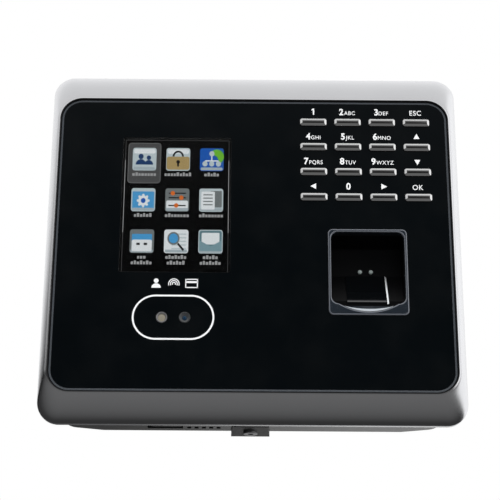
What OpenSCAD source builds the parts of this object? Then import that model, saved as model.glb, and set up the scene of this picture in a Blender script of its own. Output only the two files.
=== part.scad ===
// Wall-hung access terminal: screen, keypad, camera pair and finger reader in a flared silver frame.
// Every module draws facing the viewer: x is right, y is up, z is the distance out from the wall.
// facing() then turns the drawing so that the wall is the XZ plane and the front looks along -Y.

/* [Overall] */
// Width across the rim of the silver frame
total_w = 167.5; // [150:0.5:205]
// Height across the rim of the silver frame
total_h = 148.8; // [138:0.4:180]
// Depth from the wall to the front lip of the silver frame
total_d = 32.2; // [31.6:0.1:38.6]

/* [Silver frame] */
// Sloped band beside the panel, left and right
side_band = 4; // [3:0.1:8]
// Sloped band above the panel
top_band = 13; // [10:0.1:16]
// Sloped band below the panel
bottom_band = 10.9; // [9.5:0.1:16]
// How far the rim lies behind the front lip
flare_d = 7.8; // [6.8:0.1:8.6]
// Depth of the straight edge of the rim
rim_t = 2.4; // [2:0.1:3]
// Corner radius of the rim
rim_r = 8.6; // [6:0.1:14]
// Width of the thin lip round the panel
lip_w = 1; // [0.6:0.1:1.6]
// Wall of the frame
frame_wall = 2.2; // [1.6:0.1:2.6]
// Width of the ledge that the panel is taped to
ledge_w = 2; // [1.5:0.1:2.5]

/* [Front panel] */
// Thickness of the black acrylic panel
panel_t = 2; // [1.5:0.1:2.4]
// Depth of the panel's face behind the lip
panel_sink = 1; // [0.8:0.1:1.5]
// Corner radius of the panel
panel_r = 8.7; // [5:0.1:12]
// Gap between the panel's edge and the lip
panel_gap = 0.35; // [0.2:0.05:0.6]
// Thickness of the adhesive tape
tape_t = 0.3; // [0.2:0.05:0.5]

/* [Screen] */
// Width of the lit area
screen_w = 43.2; // [36:0.1:52]
// Height of the lit area
screen_h = 57.6; // [48:0.1:66]
// Distance from the panel's left edge to the middle of the screen
screen_from_left = 48.3; // [40:0.1:52]
// Distance from the panel's top edge to the middle of the screen
screen_from_top = 46.5; // [42:0.1:52]
// Air gap between the display and the window
screen_gap = 0.5; // [0.3:0.1:0.8]

/* [Keypad] */
// Width of a key
key_w = 10.8; // [8:0.1:12]
// Height of a key
key_h = 3.2; // [2.8:0.1:4.2]
// Corner radius of a key
key_r = 0.9; // [0.5:0.1:1.4]
// Clearance round a key in its hole
key_gap = 0.2; // [0.15:0.05:0.3]
// Travel of a key
key_travel = 0.7; // [0.4:0.05:0.8]
// Distance from key to key across
key_pitch_x = 14.1; // [13.8:0.1:15]
// Distance from key to key down
key_pitch_y = 11.1; // [9:0.1:12]
// Distance from the panel's right edge to the middle of the keypad
keypad_from_right = 34.3; // [34:0.1:38]
// Distance from the panel's top edge to the middle of the keypad
keypad_from_top = 26.5; // [26:0.1:30]

/* [Finger reader] */
// Width of the finger guide
guide_w = 31.7; // [29:0.1:34]
// Height of the finger guide
guide_h = 36.1; // [33:0.1:38]
// How far the finger guide stands proud of the panel
guide_proud = 0.6; // [0.3:0.1:0.8]
// Rim width of the finger guide
guide_rim = 1.2; // [1:0.1:2]
// Distance from the panel's top edge to the middle of the finger guide
guide_from_top = 75.1; // [73:0.1:82]
// Width of the glass platen
platen_w = 16.6; // [14:0.1:20]
// Length of the glass platen along its slope
platen_l = 16.4; // [14:0.1:17]

/* [Camera pair] */
// Distance from the panel's top edge to the camera and the lamp
eyes_from_top = 94.5; // [93:0.1:102]
// Distance between the camera and the lamp
eyes_pitch = 9; // [8:0.1:12]
// Diameter of each lens
eye_d = 4.6; // [4:0.1:6]

/* [Rear case] */
// Step in from the rim to the case, left and right
case_step_x = 6.75; // [6:0.05:9]
// Step in from the rim to the case, top and bottom
case_step_y = 2.6; // [2.4:0.1:3.4]
// Width of the slope at each side of the case's back
case_slope_w = 17.5; // [12:0.5:18]
// Wall of the case
case_wall = 2; // [1.6:0.1:2.4]
// Corner radius of the case
case_r = 7; // [5:0.1:10]

/* [Wall plate] */
// Thickness of the steel wall plate
plate_t = 1.2; // [1:0.1:1.5]
// Space between the wall plate and the case
plate_gap = 2.4; // [2.2:0.1:3]
// Width of the wall plate
plate_w = 108; // [100:1:116]
// Height of the wall plate
plate_h = 128; // [124:1:134]
// Diameter of a wall screw's hole
wall_hole_d = 4.5; // [4:0.1:5]
// Distance between wall screws across
wall_pitch_x = 84; // [80:1:90]
// Distance between wall screws up
wall_pitch_y = 112; // [108:1:114]

/* [Hidden] */

$fn = 48;
cut = 1;

// Levels along z, from the wall outwards
case_back = plate_t + plate_gap;
case_floor = case_back + case_wall;
rim_front = total_d - flare_d;
rim_back = rim_front - rim_t;
panel_face = total_d - panel_sink;
panel_back = panel_face - panel_t;
ledge_face = panel_back - tape_t;
ledge_back = ledge_face - 0.9;
flange_t = 1.4;
tongue_l = 1.8;
seal_t = 0.5;
chassis_back = rim_back + tongue_l + 0.4;
chassis_face = chassis_back + 1.4;
keyboard_face = chassis_face + 1.2;
key_flange_t = 0.8;
key_flange_face = panel_back - 0.1;
mat_room = 0.2;
mat_face = key_flange_face - key_flange_t - key_travel - mat_room;
main_back = rim_back - 5;
main_face = main_back + 1.6;

// Plan of the front
panel_w = total_w - 2 * side_band;
panel_h = total_h - top_band - bottom_band;
panel_y = (bottom_band - top_band) / 2;
panel_top = panel_y + panel_h / 2;
screen_x = screen_from_left - panel_w / 2;
screen_y = panel_top - screen_from_top;
window_w = screen_w + 1;
window_h = screen_h + 1;
keypad_x = panel_w / 2 - keypad_from_right;
keypad_y = panel_top - keypad_from_top;
guide_x = keypad_x;
guide_y = panel_top - guide_from_top;
eyes_y = panel_top - eyes_from_top;

// Finger reader: a ramp that rises towards the guide's lower edge
guide_top_in = guide_h / 2 - guide_rim;
ramp_low_y = -guide_h / 2 + 5.7;
ramp_angle = 32.5;
ramp_low_z = panel_face - 2.2;
platen_t = 2.5;
well_floor = ramp_low_z - (platen_l + 0.4) * sin(ramp_angle);
ramp_high_y = ramp_low_y + (platen_l + 0.4) * cos(ramp_angle);
housing_back = well_floor - 10;
guide_flange = 1.4;

// Rear case
case_w = total_w - 2 * case_step_x;
case_h = total_h - 2 * case_step_y;
slope_top = case_back + 6.9;
tongue_in = 1.2;
fit = 0.2;
boss_x = panel_w / 2 - 25.7;
boss_y = case_h / 2 - 6.4;
boss_d = 7;
boss_z = case_back + 10.4;
head_z = case_back + 6.4;
case_screw_d = 3;

// Main board and what is on it
board_right = guide_x - guide_w / 2 - 5;
board_left = -boss_x + 5;
board_low = -case_h / 2 + case_wall + 1.8;
plate_edge_x = 5.95;
plate_edge_y = 10;
bay_left = max(board_left + 1, -plate_w / 2 + plate_edge_x);
bay_right = min(board_right - 5, plate_w / 2 - 34.5);
bay_low = max(-case_h / 2 + 17.8, -plate_h / 2 + plate_edge_y);
bay_high = bay_low + 46;
board_high = max(bay_high + 48, keypad_y + 8);
bay_wall = 1.5;
lan_w = 16;
lan_l = 21;
lan_x = bay_right - 2 - lan_w / 2;
jack_x = bay_left + 6;
block_ways = 7;
way_pitch = 3.81;
block_w = block_ways * way_pitch + 1;
block_x = (jack_x + 5 + lan_x - lan_w / 2) / 2;
usb_w = 13.2;
usb_h = 5.8;
usb_l = 14.4;
usb_x = board_left + 14.5;
usb_z = case_back + 7;
speaker_x = usb_x + 15.3;
speaker_z = case_back + 5.2;

// Moving pieces at the back
tamper_x = plate_w / 2 - 6.35;
tamper_y = guide_y - guide_h / 2 - 16;
reset_x = tamper_x - 14;
reset_y = tamper_y;
plunger_d = 4;
reset_d = 3.4;
slide_gap = 0.3;

// Hanging hooks and the lock screw
hook_x = 35;
hook_y = plate_h / 2 - 16;
hook_w = 8;
lock_x = -0.8;
lock_z = case_back + 4.4;
lock_d = 3;
flange_gap = 0.2;
lock_face = -case_h / 2 - flange_gap;

module facing() rotate([90, 0, 0]) children();

// Rounded rectangle of exact arcs, centred
module rounded(w, h, r) {
    square([w - 2 * r, h], center = true);
    square([w, h - 2 * r], center = true);
    for (x = [-1, 1], y = [-1, 1])
        translate([x * (w / 2 - r), y * (h / 2 - r)]) circle(r);
}

// Rounded slab from level z0 to level z1
module slab(w, h, r, z0, z1) {
    translate([0, 0, z0]) linear_extrude(z1 - z0) rounded(w, h, r);
}

// Plain block given by its lowest and highest corners
module block(low, high) translate(low) cube(high - low);

// Outline in the y-z plane, carried along x and centred on x = 0
module along_x(w, points) {
    translate([-w / 2, 0, 0]) rotate([90, 0, 90]) linear_extrude(w) polygon(points);
}

// Outline in the x-z plane, carried along y and centred on y = 0
module along_y(h, points) {
    translate([0, h / 2, 0]) rotate([90, 0, 0]) linear_extrude(h) polygon(points);
}

// Cross-shaped recess for a driver, cut upwards from level 0
module cross_recess(w, depth) for (a = [0, 90]) rotate([0, 0, a])
    block([-w / 2, -w / 8, -cut], [w / 2, w / 8, depth]);

module at_corners(x, y) for (i = [-1, 1], j = [-1, 1]) translate([i * x, j * y, 0]) children();

function key_at(column, row) = [keypad_x + (column - 1.5) * key_pitch_x,
    keypad_y - (row - 1.5) * key_pitch_y, 0];

// Outer form of the silver frame, from the lip back to the rim
module frame_form() hull() {
    translate([0, panel_y, 0])
        slab(panel_w + 2 * lip_w, panel_h + 2 * lip_w, panel_r + lip_w, total_d - 0.1, total_d);
    slab(total_w, total_h, rim_r, rim_back, rim_front);
}

// Silver frame: a flared ring with a ledge for the panel, a back flange and four screw bosses on webs
module front_frame() color([0.78, 0.78, 0.77]) facing() {
    web_l = total_h / 2 - boss_y - 2.8;
    difference() {
        union() {
            difference() {
                frame_form();
                hull() {
                    translate([0, panel_y, 0])
                        slab(panel_w + 1.2, panel_h + 7.5, panel_r, ledge_back - 0.1, ledge_back);
                    slab(total_w - 2 * frame_wall, total_h - 2 * frame_wall, rim_r - frame_wall,
                        rim_back + flange_t, rim_back + flange_t + 0.1);
                }
                slab(case_w - 2 * (tongue_in - fit), case_h - 2 * (tongue_in - fit), case_r - tongue_in + fit,
                    rim_back - cut, rim_back + flange_t + cut);
            }
            at_corners(boss_x, boss_y) translate([0, 0, boss_z])
                cylinder(d = boss_d, h = ledge_back - 2 - boss_z);
            intersection() {
                frame_form();
                for (i = [-1, 1], j = [-1, 1]) translate([i * boss_x, j * boss_y, 0])
                    block([-3, j > 0 ? 0 : -web_l, chassis_back], [3, j > 0 ? web_l : 0, ledge_back - 2]);
            }
        }
        translate([0, panel_y, 0]) {
            slab(panel_w, panel_h, panel_r, ledge_face, total_d + cut);
            slab(panel_w - 2 * ledge_w, panel_h - 2 * ledge_w, panel_r - ledge_w, ledge_back - cut, total_d);
        }
        at_corners(boss_x, boss_y) translate([0, 0, boss_z - cut]) cylinder(d = case_screw_d, h = cut + 9);
    }
}

// Black acrylic panel with its window, key holes, finger opening and lens holes
module front_panel() color([0.05, 0.06, 0.07]) facing() difference() {
    translate([0, panel_y, 0])
        slab(panel_w - 2 * panel_gap, panel_h - 2 * panel_gap, panel_r - panel_gap, panel_back, panel_face);
    translate([screen_x, screen_y, 0]) slab(window_w, window_h, 0.8, panel_back - cut, panel_face + cut);
    for (c = [0:3], r = [0:3]) translate(key_at(c, r))
        slab(key_w + 2 * key_gap, key_h + 2 * key_gap, key_r + key_gap, panel_back - cut, panel_face + cut);
    translate([guide_x, guide_y, 0])
        slab(guide_w + 0.2, guide_h + 0.2, 2.1, panel_back - cut, panel_face + cut);
    for (s = [-1, 1]) translate([screen_x + s * eyes_pitch / 2, eyes_y, panel_back - cut])
        cylinder(d = eye_d + 0.2, h = panel_t + 2 * cut);
}

// Adhesive tape between the panel and the frame's ledge
module panel_tape() color([0.15, 0.15, 0.15]) facing() translate([0, panel_y, 0]) difference() {
    slab(panel_w - 2 * panel_gap, panel_h - 2 * panel_gap, panel_r - panel_gap, ledge_face, panel_back);
    slab(panel_w - 2 * ledge_w, panel_h - 2 * ledge_w, panel_r - ledge_w, ledge_face - cut, panel_back + cut);
}

// Clear window flush in the panel
module display_window() color([0.2, 0.25, 0.3]) facing() translate([screen_x, screen_y, 0])
    slab(window_w - 0.2, window_h - 0.2, 0.7, panel_back, panel_face);

// Display: a glass and metal sandwich, longer below the lit area for its contacts
module display_module() color([0.1, 0.1, 0.12]) facing() translate([screen_x, screen_y - 3, 0])
    slab(screen_w + 6.8, screen_h + 11.6, 1, chassis_face, panel_back - screen_gap);

// Flat ribbon from the display to the main board
module display_ribbon() color([0.75, 0.5, 0.15]) facing()
    translate([screen_x, screen_y - screen_h / 2 - 10.2, 0])
        block([-9, -0.15, main_face + 1], [9, 0.15, chassis_face]);

// One key: a bar that passes through the panel, with a retaining flange behind it
module key(column, row) color([0.72, 0.73, 0.75]) facing() translate(key_at(column, row)) {
    slab(key_w, key_h, key_r, key_flange_face, total_d);
    slab(key_w + 1.6, key_h + 1.6, key_r, key_flange_face - key_flange_t, key_flange_face);
}

// Silicone mat under the keys, drawn pressed flat
module keypad_mat() color([0.55, 0.55, 0.53]) facing() translate([keypad_x, keypad_y, 0])
    slab(4 * key_pitch_x + 2, 4 * key_pitch_y + 1, 2, keyboard_face, mat_face);

module keypad_board() color([0.05, 0.35, 0.18]) facing() translate([keypad_x, keypad_y, 0])
    slab(4 * key_pitch_x + 4, 4 * key_pitch_y + 2, 1, chassis_face, keyboard_face);

// Where the keypad's ribbon drops to the main board
ribbon_x = board_right - 2;
ribbon_up_x = keypad_x - 2 * key_pitch_x + 3.55;
module keypad_ribbon() color([0.85, 0.85, 0.82]) facing() translate([0, keypad_y - 14, 0]) {
    block([ribbon_x - 0.15, 0, main_face + 1], [ribbon_x + 0.15, 12, chassis_back - 0.3]);
    block([min(ribbon_x, ribbon_up_x) - 0.15, 0, chassis_back - 0.6],
        [max(ribbon_x, ribbon_up_x) + 0.15, 12, chassis_back - 0.3]);
    block([ribbon_up_x - 0.15, 0, chassis_back - 0.6], [ribbon_up_x + 0.15, 12, chassis_face]);
}

// Opening of the finger guide: a rounded window with a scoop cut in its lower edge
module guide_opening(z0, z1) {
    inside_w = guide_w - 2 * guide_rim;
    lower_lip = 4.7;
    scoop_r = 22.7;
    translate([0, (lower_lip - guide_rim) / 2, 0])
        slab(inside_w, guide_h - guide_rim - lower_lip, 3, z0, z1);
    intersection() {
        translate([0, -guide_h / 2 + 1.5 + scoop_r, z0]) cylinder(r = scoop_r, h = z1 - z0, $fn = 96);
        block([-inside_w / 2 + 2, -guide_h / 2, z0], [inside_w / 2 - 2, 0, z1]);
    }
}

// Finger guide: the raised rim round the reader, with a flange behind the panel
module finger_guide() color([0.13, 0.16, 0.2]) facing() translate([guide_x, guide_y, 0]) difference() {
    union() {
        slab(guide_w, guide_h, 2, panel_back, panel_face + guide_proud);
        slab(guide_w + 2 * guide_flange, guide_h + 2 * guide_flange, 2, panel_back - 0.9, panel_back);
    }
    guide_opening(panel_back - 0.9 - cut, total_d + cut);
}

// Slope of the platen, with its origin at the ramp's front edge
module on_ramp() translate([0, ramp_low_y, ramp_low_z]) rotate([-ramp_angle, 0, 0]) children();

// Housing behind the guide: a well whose floor is the ramp that holds the platen
module finger_housing() color([0.07, 0.07, 0.08]) facing() translate([guide_x, guide_y, 0]) difference() {
    slab(guide_w + 1.2, guide_h + 1.2, 2, housing_back, panel_back - 0.9);
    along_x(guide_w - 2 * guide_rim - 0.4, [[guide_top_in - 0.2, panel_back],
        [guide_top_in - 2.5, well_floor - 2], [ramp_high_y + 0.6, well_floor - 2],
        [ramp_high_y, well_floor], [ramp_low_y, ramp_low_z], [ramp_low_y - 0.6, panel_back]]);
    on_ramp() block([-platen_w / 2 - 0.1, 0.3, -platen_t], [platen_w / 2 + 0.1, platen_l + 0.5, cut]);
    block([-platen_w / 2 + 1.2, ramp_low_y + 1, housing_back - cut],
        [platen_w / 2 - 1.2, ramp_high_y - 1.5, well_floor - 3.4]);
    on_ramp() block([-platen_w / 2 + 1.2, 1.5, -9], [platen_w / 2 - 1.2, platen_l - 1, -platen_t + cut]);
}

module finger_platen() color([0.35, 0.45, 0.5]) facing() translate([guide_x, guide_y, 0])
    on_ramp() block([-platen_w / 2, 0.4, -platen_t], [platen_w / 2, platen_l + 0.4, 0.3]);

// Glass prism under the platen
module finger_prism() color([0.5, 0.6, 0.65]) facing() translate([guide_x, guide_y, 0]) on_ramp()
    along_x(platen_w - 3, [[2, -platen_t], [2, -4.5], [9, -8.4], [platen_l - 2, -platen_t]]);

// Image sensor and its small lens on the reader's board
module finger_imager() color([0.2, 0.2, 0.2]) facing() translate([guide_x, guide_y, 0]) {
    block([-4, ramp_low_y + 3, housing_back], [4, ramp_low_y + 11, housing_back + 3]);
    translate([0, ramp_low_y + 7, housing_back + 2.9]) cylinder(d = 5, h = 1.7);
}

module finger_board() color([0.05, 0.35, 0.18]) facing() translate([guide_x, guide_y, 0])
    slab(guide_w - 1, guide_h - 1, 1, housing_back - 1.4, housing_back);

// Two small lamps on the floor of the well
module finger_lamps() color([0.7, 0.95, 0.7]) facing() translate([guide_x, guide_y, 0])
    for (s = [-1, 1]) translate([s * 2.2, ramp_high_y + 2.6, well_floor - 2]) cylinder(d = 1.8, h = 1.2);

// Lens and barrel of the camera, and of the white lamp beside it
module eye(side, barrel_d) translate([screen_x + side * eyes_pitch / 2, eyes_y, 0]) {
    translate([0, 0, panel_back]) cylinder(d = eye_d, h = panel_t);
    translate([0, 0, chassis_face + 1]) cylinder(d = barrel_d, h = panel_back - chassis_face - 1);
}

module camera_lens() color([0.3, 0.32, 0.36]) facing() eye(1, 7);

module lamp_lens() color([0.75, 0.72, 0.65]) facing() eye(-1, 6);

module camera_board() color([0.05, 0.35, 0.18]) facing() translate([screen_x, eyes_y, 0])
    slab(30, 13, 1, chassis_face, chassis_face + 1);

// Posts that hold the main board: two above the cable bay and two in its lower corners
post_inset = 3.2;
bay_inset = 4.5;
module at_posts() {
    for (x = [board_left + post_inset, board_right - post_inset])
        translate([x, board_high - post_inset, 0]) children();
    for (x = [bay_left + bay_inset, bay_right - bay_inset])
        translate([x, bay_low + bay_inset + 1.5, 0]) children();
}

// Inner chassis: the black plate that carries the display, keypad, camera and finger reader
chassis_low = panel_y - panel_h / 2 + 3;
chassis_high = panel_y + panel_h / 2 - 3;
module inner_chassis() color([0.1, 0.1, 0.1]) facing() difference() {
    union() {
        block([-panel_w / 2 + 0.8, chassis_low, chassis_back], [panel_w / 2 - 0.8, chassis_high, chassis_face]);
        for (s = [-1, 1]) translate([s * (panel_w / 2 - 1.7), panel_y, 0])
            block([-0.9, -panel_h / 2 + panel_r + 2, chassis_back], [0.9, panel_h / 2 - panel_r - 2, ledge_back]);
        at_posts() translate([0, 0, main_face]) cylinder(d = 5.6, h = chassis_face - main_face);
    }
    translate([guide_x, guide_y, 0]) slab(guide_w + 1.8, guide_h + 1.8, 2, 0, total_d);
    translate([screen_x, screen_y - screen_h / 2 - 10.2, 0])
        block([-9.6, -0.8, 0], [9.6, 0.8, total_d]);
    block([keypad_x - 2 * key_pitch_x + 2.8, keypad_y - 14.6, 0],
        [keypad_x - 2 * key_pitch_x + 4.3, keypad_y - 1.4, total_d]);
    at_posts() translate([0, 0, main_face - cut]) cylinder(d = 2.4, h = cut + 5);
}

module main_board() color([0.05, 0.3, 0.15]) facing() difference() {
    block([board_left, board_low, main_back], [board_right, board_high, main_face]);
    at_posts() translate([0, 0, main_back - cut]) cylinder(d = 2.6, h = 4);
}

module board_screws() color([0.7, 0.7, 0.7]) facing() at_posts() {
    translate([0, 0, main_back - 1.6]) difference() {
        cylinder(d = 4.6, h = 1.6);
        cross_recess(2.6, 0.9);
    }
    translate([0, 0, main_back]) cylinder(d = 2.4, h = 5.4);
}

// Metal can over the processor
module processor_shield() color([0.75, 0.75, 0.75]) facing()
    translate([(board_left + board_right) / 2, bay_high + 26, 0]) difference() {
        slab(34, 30, 1, main_back - 3, main_back);
        slab(33, 29, 0.5, main_back - 2.6, main_back + cut);
    }

// White sockets that take the ribbons and the finger reader's lead
module board_sockets() color([0.9, 0.9, 0.86]) facing() {
    translate([screen_x, screen_y - screen_h / 2 - 10.2, 0]) block([-10, -2, main_face], [10, 2, main_face + 1]);
    block([ribbon_x - 2, keypad_y - 15, main_face], [ribbon_x + 2, keypad_y - 1, main_face + 1]);
    block([board_right - 5, guide_y - 6, main_face], [board_right - 1, guide_y + 6, main_face + 3]);
}

// Network socket: a metal shell with a square mouth that looks down
module lan_socket() color([0.75, 0.75, 0.77]) facing() translate([lan_x, bay_high - 2, 0]) difference() {
    block([-lan_w / 2, -lan_l, case_back + 0.2], [lan_w / 2, 0, main_back]);
    block([-5.9, -lan_l - cut, case_back + 2.2], [5.9, -7, case_back + 9.2]);
    block([-3.2, -lan_l - cut, case_back + 1.1], [3.2, -7, case_back + 2.3]);
}

// Power jack: a square body with a round mouth and a centre pin
jack_bore = 5.7;
module power_jack() color([0.1, 0.1, 0.1]) facing() translate([jack_x, bay_high - 2, main_back - 5.5]) {
    difference() {
        block([-4.5, -14, -5.5], [4.5, 0, 5.5]);
        translate([0, -14 - cut, 0]) rotate([-90, 0, 0]) cylinder(d = jack_bore, h = 9.6 + cut);
    }
    translate([0, -13, 0]) rotate([-90, 0, 0]) cylinder(d = 2.1, h = 9);
}

// Wiring block: one wire hole and one screw for each way
block_l = 12;
block_back = main_back - 10;
module each_way() for (i = [0:block_ways - 1])
    translate([block_x + (i - (block_ways - 1) / 2) * way_pitch, 0, 0]) children();
module wiring_block() color([0.1, 0.45, 0.2]) facing() difference() {
    block([block_x - block_w / 2, bay_high - 2 - block_l, block_back], [block_x + block_w / 2, bay_high - 2, main_back]);
    each_way() translate([0, bay_high - 2 - block_l - cut, main_back - 4]) rotate([-90, 0, 0])
        cylinder(d = 2.6, h = 7);
    each_way() translate([0, bay_high - 2 - block_l / 2, block_back - cut]) cylinder(d = 3, h = 4 + cut);
}

module wiring_screws() color([0.75, 0.75, 0.75]) facing()
    each_way() translate([0, bay_high - 2 - block_l / 2, block_back + 1]) difference() {
        cylinder(d = 2.8, h = 3);
        block([-1.5, -0.25, -cut], [1.5, 0.25, 0.8]);
    }

// USB socket on a raised base, with its mouth in the case's lower wall
module usb_socket() color([0.75, 0.75, 0.77]) facing() translate([usb_x, -case_h / 2 + 0.5, 0]) {
    difference() {
        block([-usb_w / 2, 0, usb_z - usb_h / 2], [usb_w / 2, usb_l, usb_z + usb_h / 2]);
        block([-usb_w / 2 + 0.4, -cut, usb_z - usb_h / 2 + 0.4], [usb_w / 2 - 0.4, usb_l - 2, usb_z + usb_h / 2 - 0.4]);
    }
    block([-5.6, 1.2, usb_z + 0.3], [5.6, usb_l - 1, usb_z + usb_h / 2 - 0.8]);
    block([-usb_w / 2, case_wall + 2, usb_z + usb_h / 2], [usb_w / 2, usb_l, main_back]);
}

// Small box speaker behind the slots in the lower wall
module speaker() color([0.12, 0.12, 0.12]) facing()
    translate([speaker_x, -case_h / 2 + case_wall + 0.3, 0])
        block([-7.6, 0, case_floor], [7.6, 11, case_floor + 6.6]);

// Backup battery on the case's floor, above the cable bay
module backup_battery() color([0.2, 0.35, 0.6]) facing() translate([(bay_left + bay_right) / 2, bay_high + 12, 0])
    block([-13, 0, case_floor], [13, 30, case_floor + 6]);

// Lever-free switch body and the plunger that the wall plate holds in
plunger_back = plate_t + 0.1;
switch_face = case_floor + 2.6;
module switch_body(x, y, bore) difference() {
    translate([x, y, 0]) block([-4, -4, switch_face], [4, 4, main_back - 4]);
    translate([x, y, switch_face - cut]) cylinder(d = bore, h = cut + 3);
}

module tamper_switch() color([0.15, 0.15, 0.15]) facing()
    switch_body(tamper_x, tamper_y, plunger_d - 1.4 + 2 * slide_gap);

// Plunger: a round pin with a collar that stops it inside the case
module plunger(d, back) {
    translate([0, 0, back]) cylinder(d = d, h = case_floor + 0.2 - back);
    translate([0, 0, case_floor + 0.2]) cylinder(d = d + 1.6, h = 0.9);
    translate([0, 0, case_floor + 1.1]) cylinder(d = d - 1.4, h = 2.5);
}

module tamper_plunger() color([0.85, 0.85, 0.82]) facing()
    translate([tamper_x, tamper_y, 0]) plunger(plunger_d, plunger_back);

module reset_switch() color([0.15, 0.15, 0.15]) facing()
    switch_body(reset_x, reset_y, reset_d - 1.4 + 2 * slide_gap);

module reset_button() color([0.7, 0.1, 0.1]) facing()
    translate([reset_x, reset_y, 0]) plunger(reset_d, case_back + 0.2);

// Rubber seal between the case's front edge and the frame's flange
module case_seal() color([0.12, 0.12, 0.12]) facing() difference() {
    slab(case_w - 0.2, case_h - 0.2, case_r - 0.1, rim_back - seal_t, rim_back);
    slab(case_w - 2 * tongue_in + 0.1, case_h - 2 * tongue_in + 0.1, case_r - tongue_in, rim_back - 2, rim_back + cut);
}

// Body of the case, sloped at both sides of its back and shrunk all round by a wall
module case_form(inset, top) intersection() {
    along_y(case_h - 2 * inset, [[-case_w / 2 + inset, top], [-case_w / 2 + inset, slope_top],
        [-case_w / 2 + case_slope_w + inset * 0.7, case_back + inset],
        [case_w / 2 - case_slope_w - inset * 0.7, case_back + inset],
        [case_w / 2 - inset, slope_top], [case_w / 2 - inset, top]]);
    slab(case_w - 2 * inset, case_h - 2 * inset, case_r - inset, case_back - cut, top);
}

// Slots in the lower wall in front of the speaker
slot_count = 5;
slot_pitch = 2.9;
module speaker_slots() for (i = [0:slot_count - 1])
    translate([speaker_x + (i - (slot_count - 1) / 2) * slot_pitch, -case_h / 2 - cut, speaker_z])
        block([-0.8, 0, -1.5], [0.8, case_wall + cut + 0.2, 1.5]);

// Rear case: tray with a tongue, four screw bosses, a cable bay and the hanging slots
module rear_case() color([0.2, 0.21, 0.21]) facing() difference() {
    union() {
        difference() {
            case_form(0, rim_back - seal_t);
            case_form(case_wall, rim_back + cut);
        }
        difference() {
            slab(case_w - 2 * tongue_in, case_h - 2 * tongue_in, case_r - tongue_in,
                slope_top, rim_back + tongue_l);
            slab(case_w - 2 * case_wall - 0.4, case_h - 2 * case_wall - 0.4, case_r - case_wall,
                slope_top - cut, rim_back + tongue_l + cut);
        }
        at_corners(boss_x, boss_y) translate([0, 0, case_back + 0.5])
            cylinder(d = boss_d + 1, h = boss_z - case_back - 0.5);
        difference() {
            block([bay_left - bay_wall, bay_low - bay_wall, case_back + 0.5],
                [bay_right + bay_wall, bay_high + bay_wall, main_back - 0.3]);
            block([bay_left, bay_low, case_back - cut], [bay_right, bay_high, main_back + cut]);
        }
        translate([lock_x, -case_h / 2, case_back + 0.5]) block([-5, 0.5, 0], [5, 12, 7.9]);
    }
    block([bay_left, bay_low, case_back - cut], [bay_right, bay_high, case_floor + cut]);
    at_corners(boss_x, boss_y) {
        translate([0, 0, case_back - cut]) cylinder(d = case_screw_d + 0.4, h = boss_z);
        translate([0, 0, case_back - cut]) cylinder(d = 6.4, h = cut + head_z - case_back);
    }
    translate([usb_x, -case_h / 2 - cut, usb_z])
        block([-usb_w / 2 - 0.4, 0, -usb_h / 2 - 0.4], [usb_w / 2 + 0.4, case_wall + cut + 0.2, usb_h / 2 + 0.4]);
    speaker_slots();
    for (s = [-1, 1]) translate([s * hook_x, hook_y, 0])
        block([-hook_w / 2 - 1, -4.5, case_back - cut], [hook_w / 2 + 1, 3, case_floor + cut]);
    translate([tamper_x, tamper_y, case_back - cut]) cylinder(d = plunger_d + 2 * slide_gap, h = case_wall + 2 * cut);
    translate([reset_x, reset_y, case_back - cut]) cylinder(d = reset_d + 2 * slide_gap, h = case_wall + 2 * cut);
    translate([lock_x, -case_h / 2 - cut, lock_z]) rotate([-90, 0, 0]) cylinder(d = lock_d, h = cut + 9);
}

module case_screws() color([0.35, 0.35, 0.35]) facing() at_corners(boss_x, boss_y) {
    translate([0, 0, head_z - 2]) difference() {
        cylinder(d = 5.6, h = 2);
        cross_recess(3.2, 1.2);
    }
    translate([0, 0, head_z]) cylinder(d = case_screw_d, h = boss_z - head_z + 7);
}

// Wall plate: steel sheet with wall holes, a cable opening, two hooks and a flange under the case
module wall_plate() color([0.06, 0.06, 0.06]) facing() difference() {
    union() {
        slab(plate_w, plate_h, 4, 0, plate_t);
        block([lock_x - 7.7, lock_face - plate_t, 0], [lock_x + 7.7, -plate_h / 2 + 1, plate_t]);
        translate([lock_x, lock_face, 0]) rotate([90, 0, 0]) linear_extrude(plate_t)
            polygon([[-7.7, 0], [7.7, 0], [7.1, 16], [-7.1, 16]]);
        for (s = [-1, 1]) translate([s * hook_x, hook_y, 0]) {
            block([-hook_w / 2, -1.4, 0.5], [hook_w / 2, 0, case_floor + 0.3 + plate_t]);
            block([-hook_w / 2, -1.4, case_floor + 0.3], [hook_w / 2, 2.6, case_floor + 0.3 + plate_t]);
        }
    }
    at_corners(wall_pitch_x / 2, wall_pitch_y / 2) translate([0, 0, -cut])
        cylinder(d = wall_hole_d, h = plate_t + 2 * cut);
    translate([(bay_left + bay_right) / 2, (bay_low + bay_high) / 2, 0])
        slab(bay_right - bay_left - 4, bay_high - bay_low, 4, -cut, plate_t + cut);
    translate([lock_x, lock_face + cut, lock_z]) rotate([90, 0, 0]) cylinder(d = lock_d + 0.4, h = plate_t + 2 * cut);
    translate([reset_x, reset_y, -cut]) cylinder(d = reset_d + 2, h = plate_t + 2 * cut);
}

// Security screw that goes up through the plate's flange into the case
module lock_screw() color([0.6, 0.6, 0.6]) facing() translate([lock_x, lock_face - plate_t, lock_z]) {
    difference() {
        rotate([90, 0, 0]) cylinder(d = 5.6, h = 1);
        rotate([90, 0, 0]) translate([0, 0, 0.4]) cylinder(d = 2.4, h = cut, $fn = 6);
    }
    rotate([-90, 0, 0]) cylinder(d = lock_d, h = plate_t + 8);
}

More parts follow.
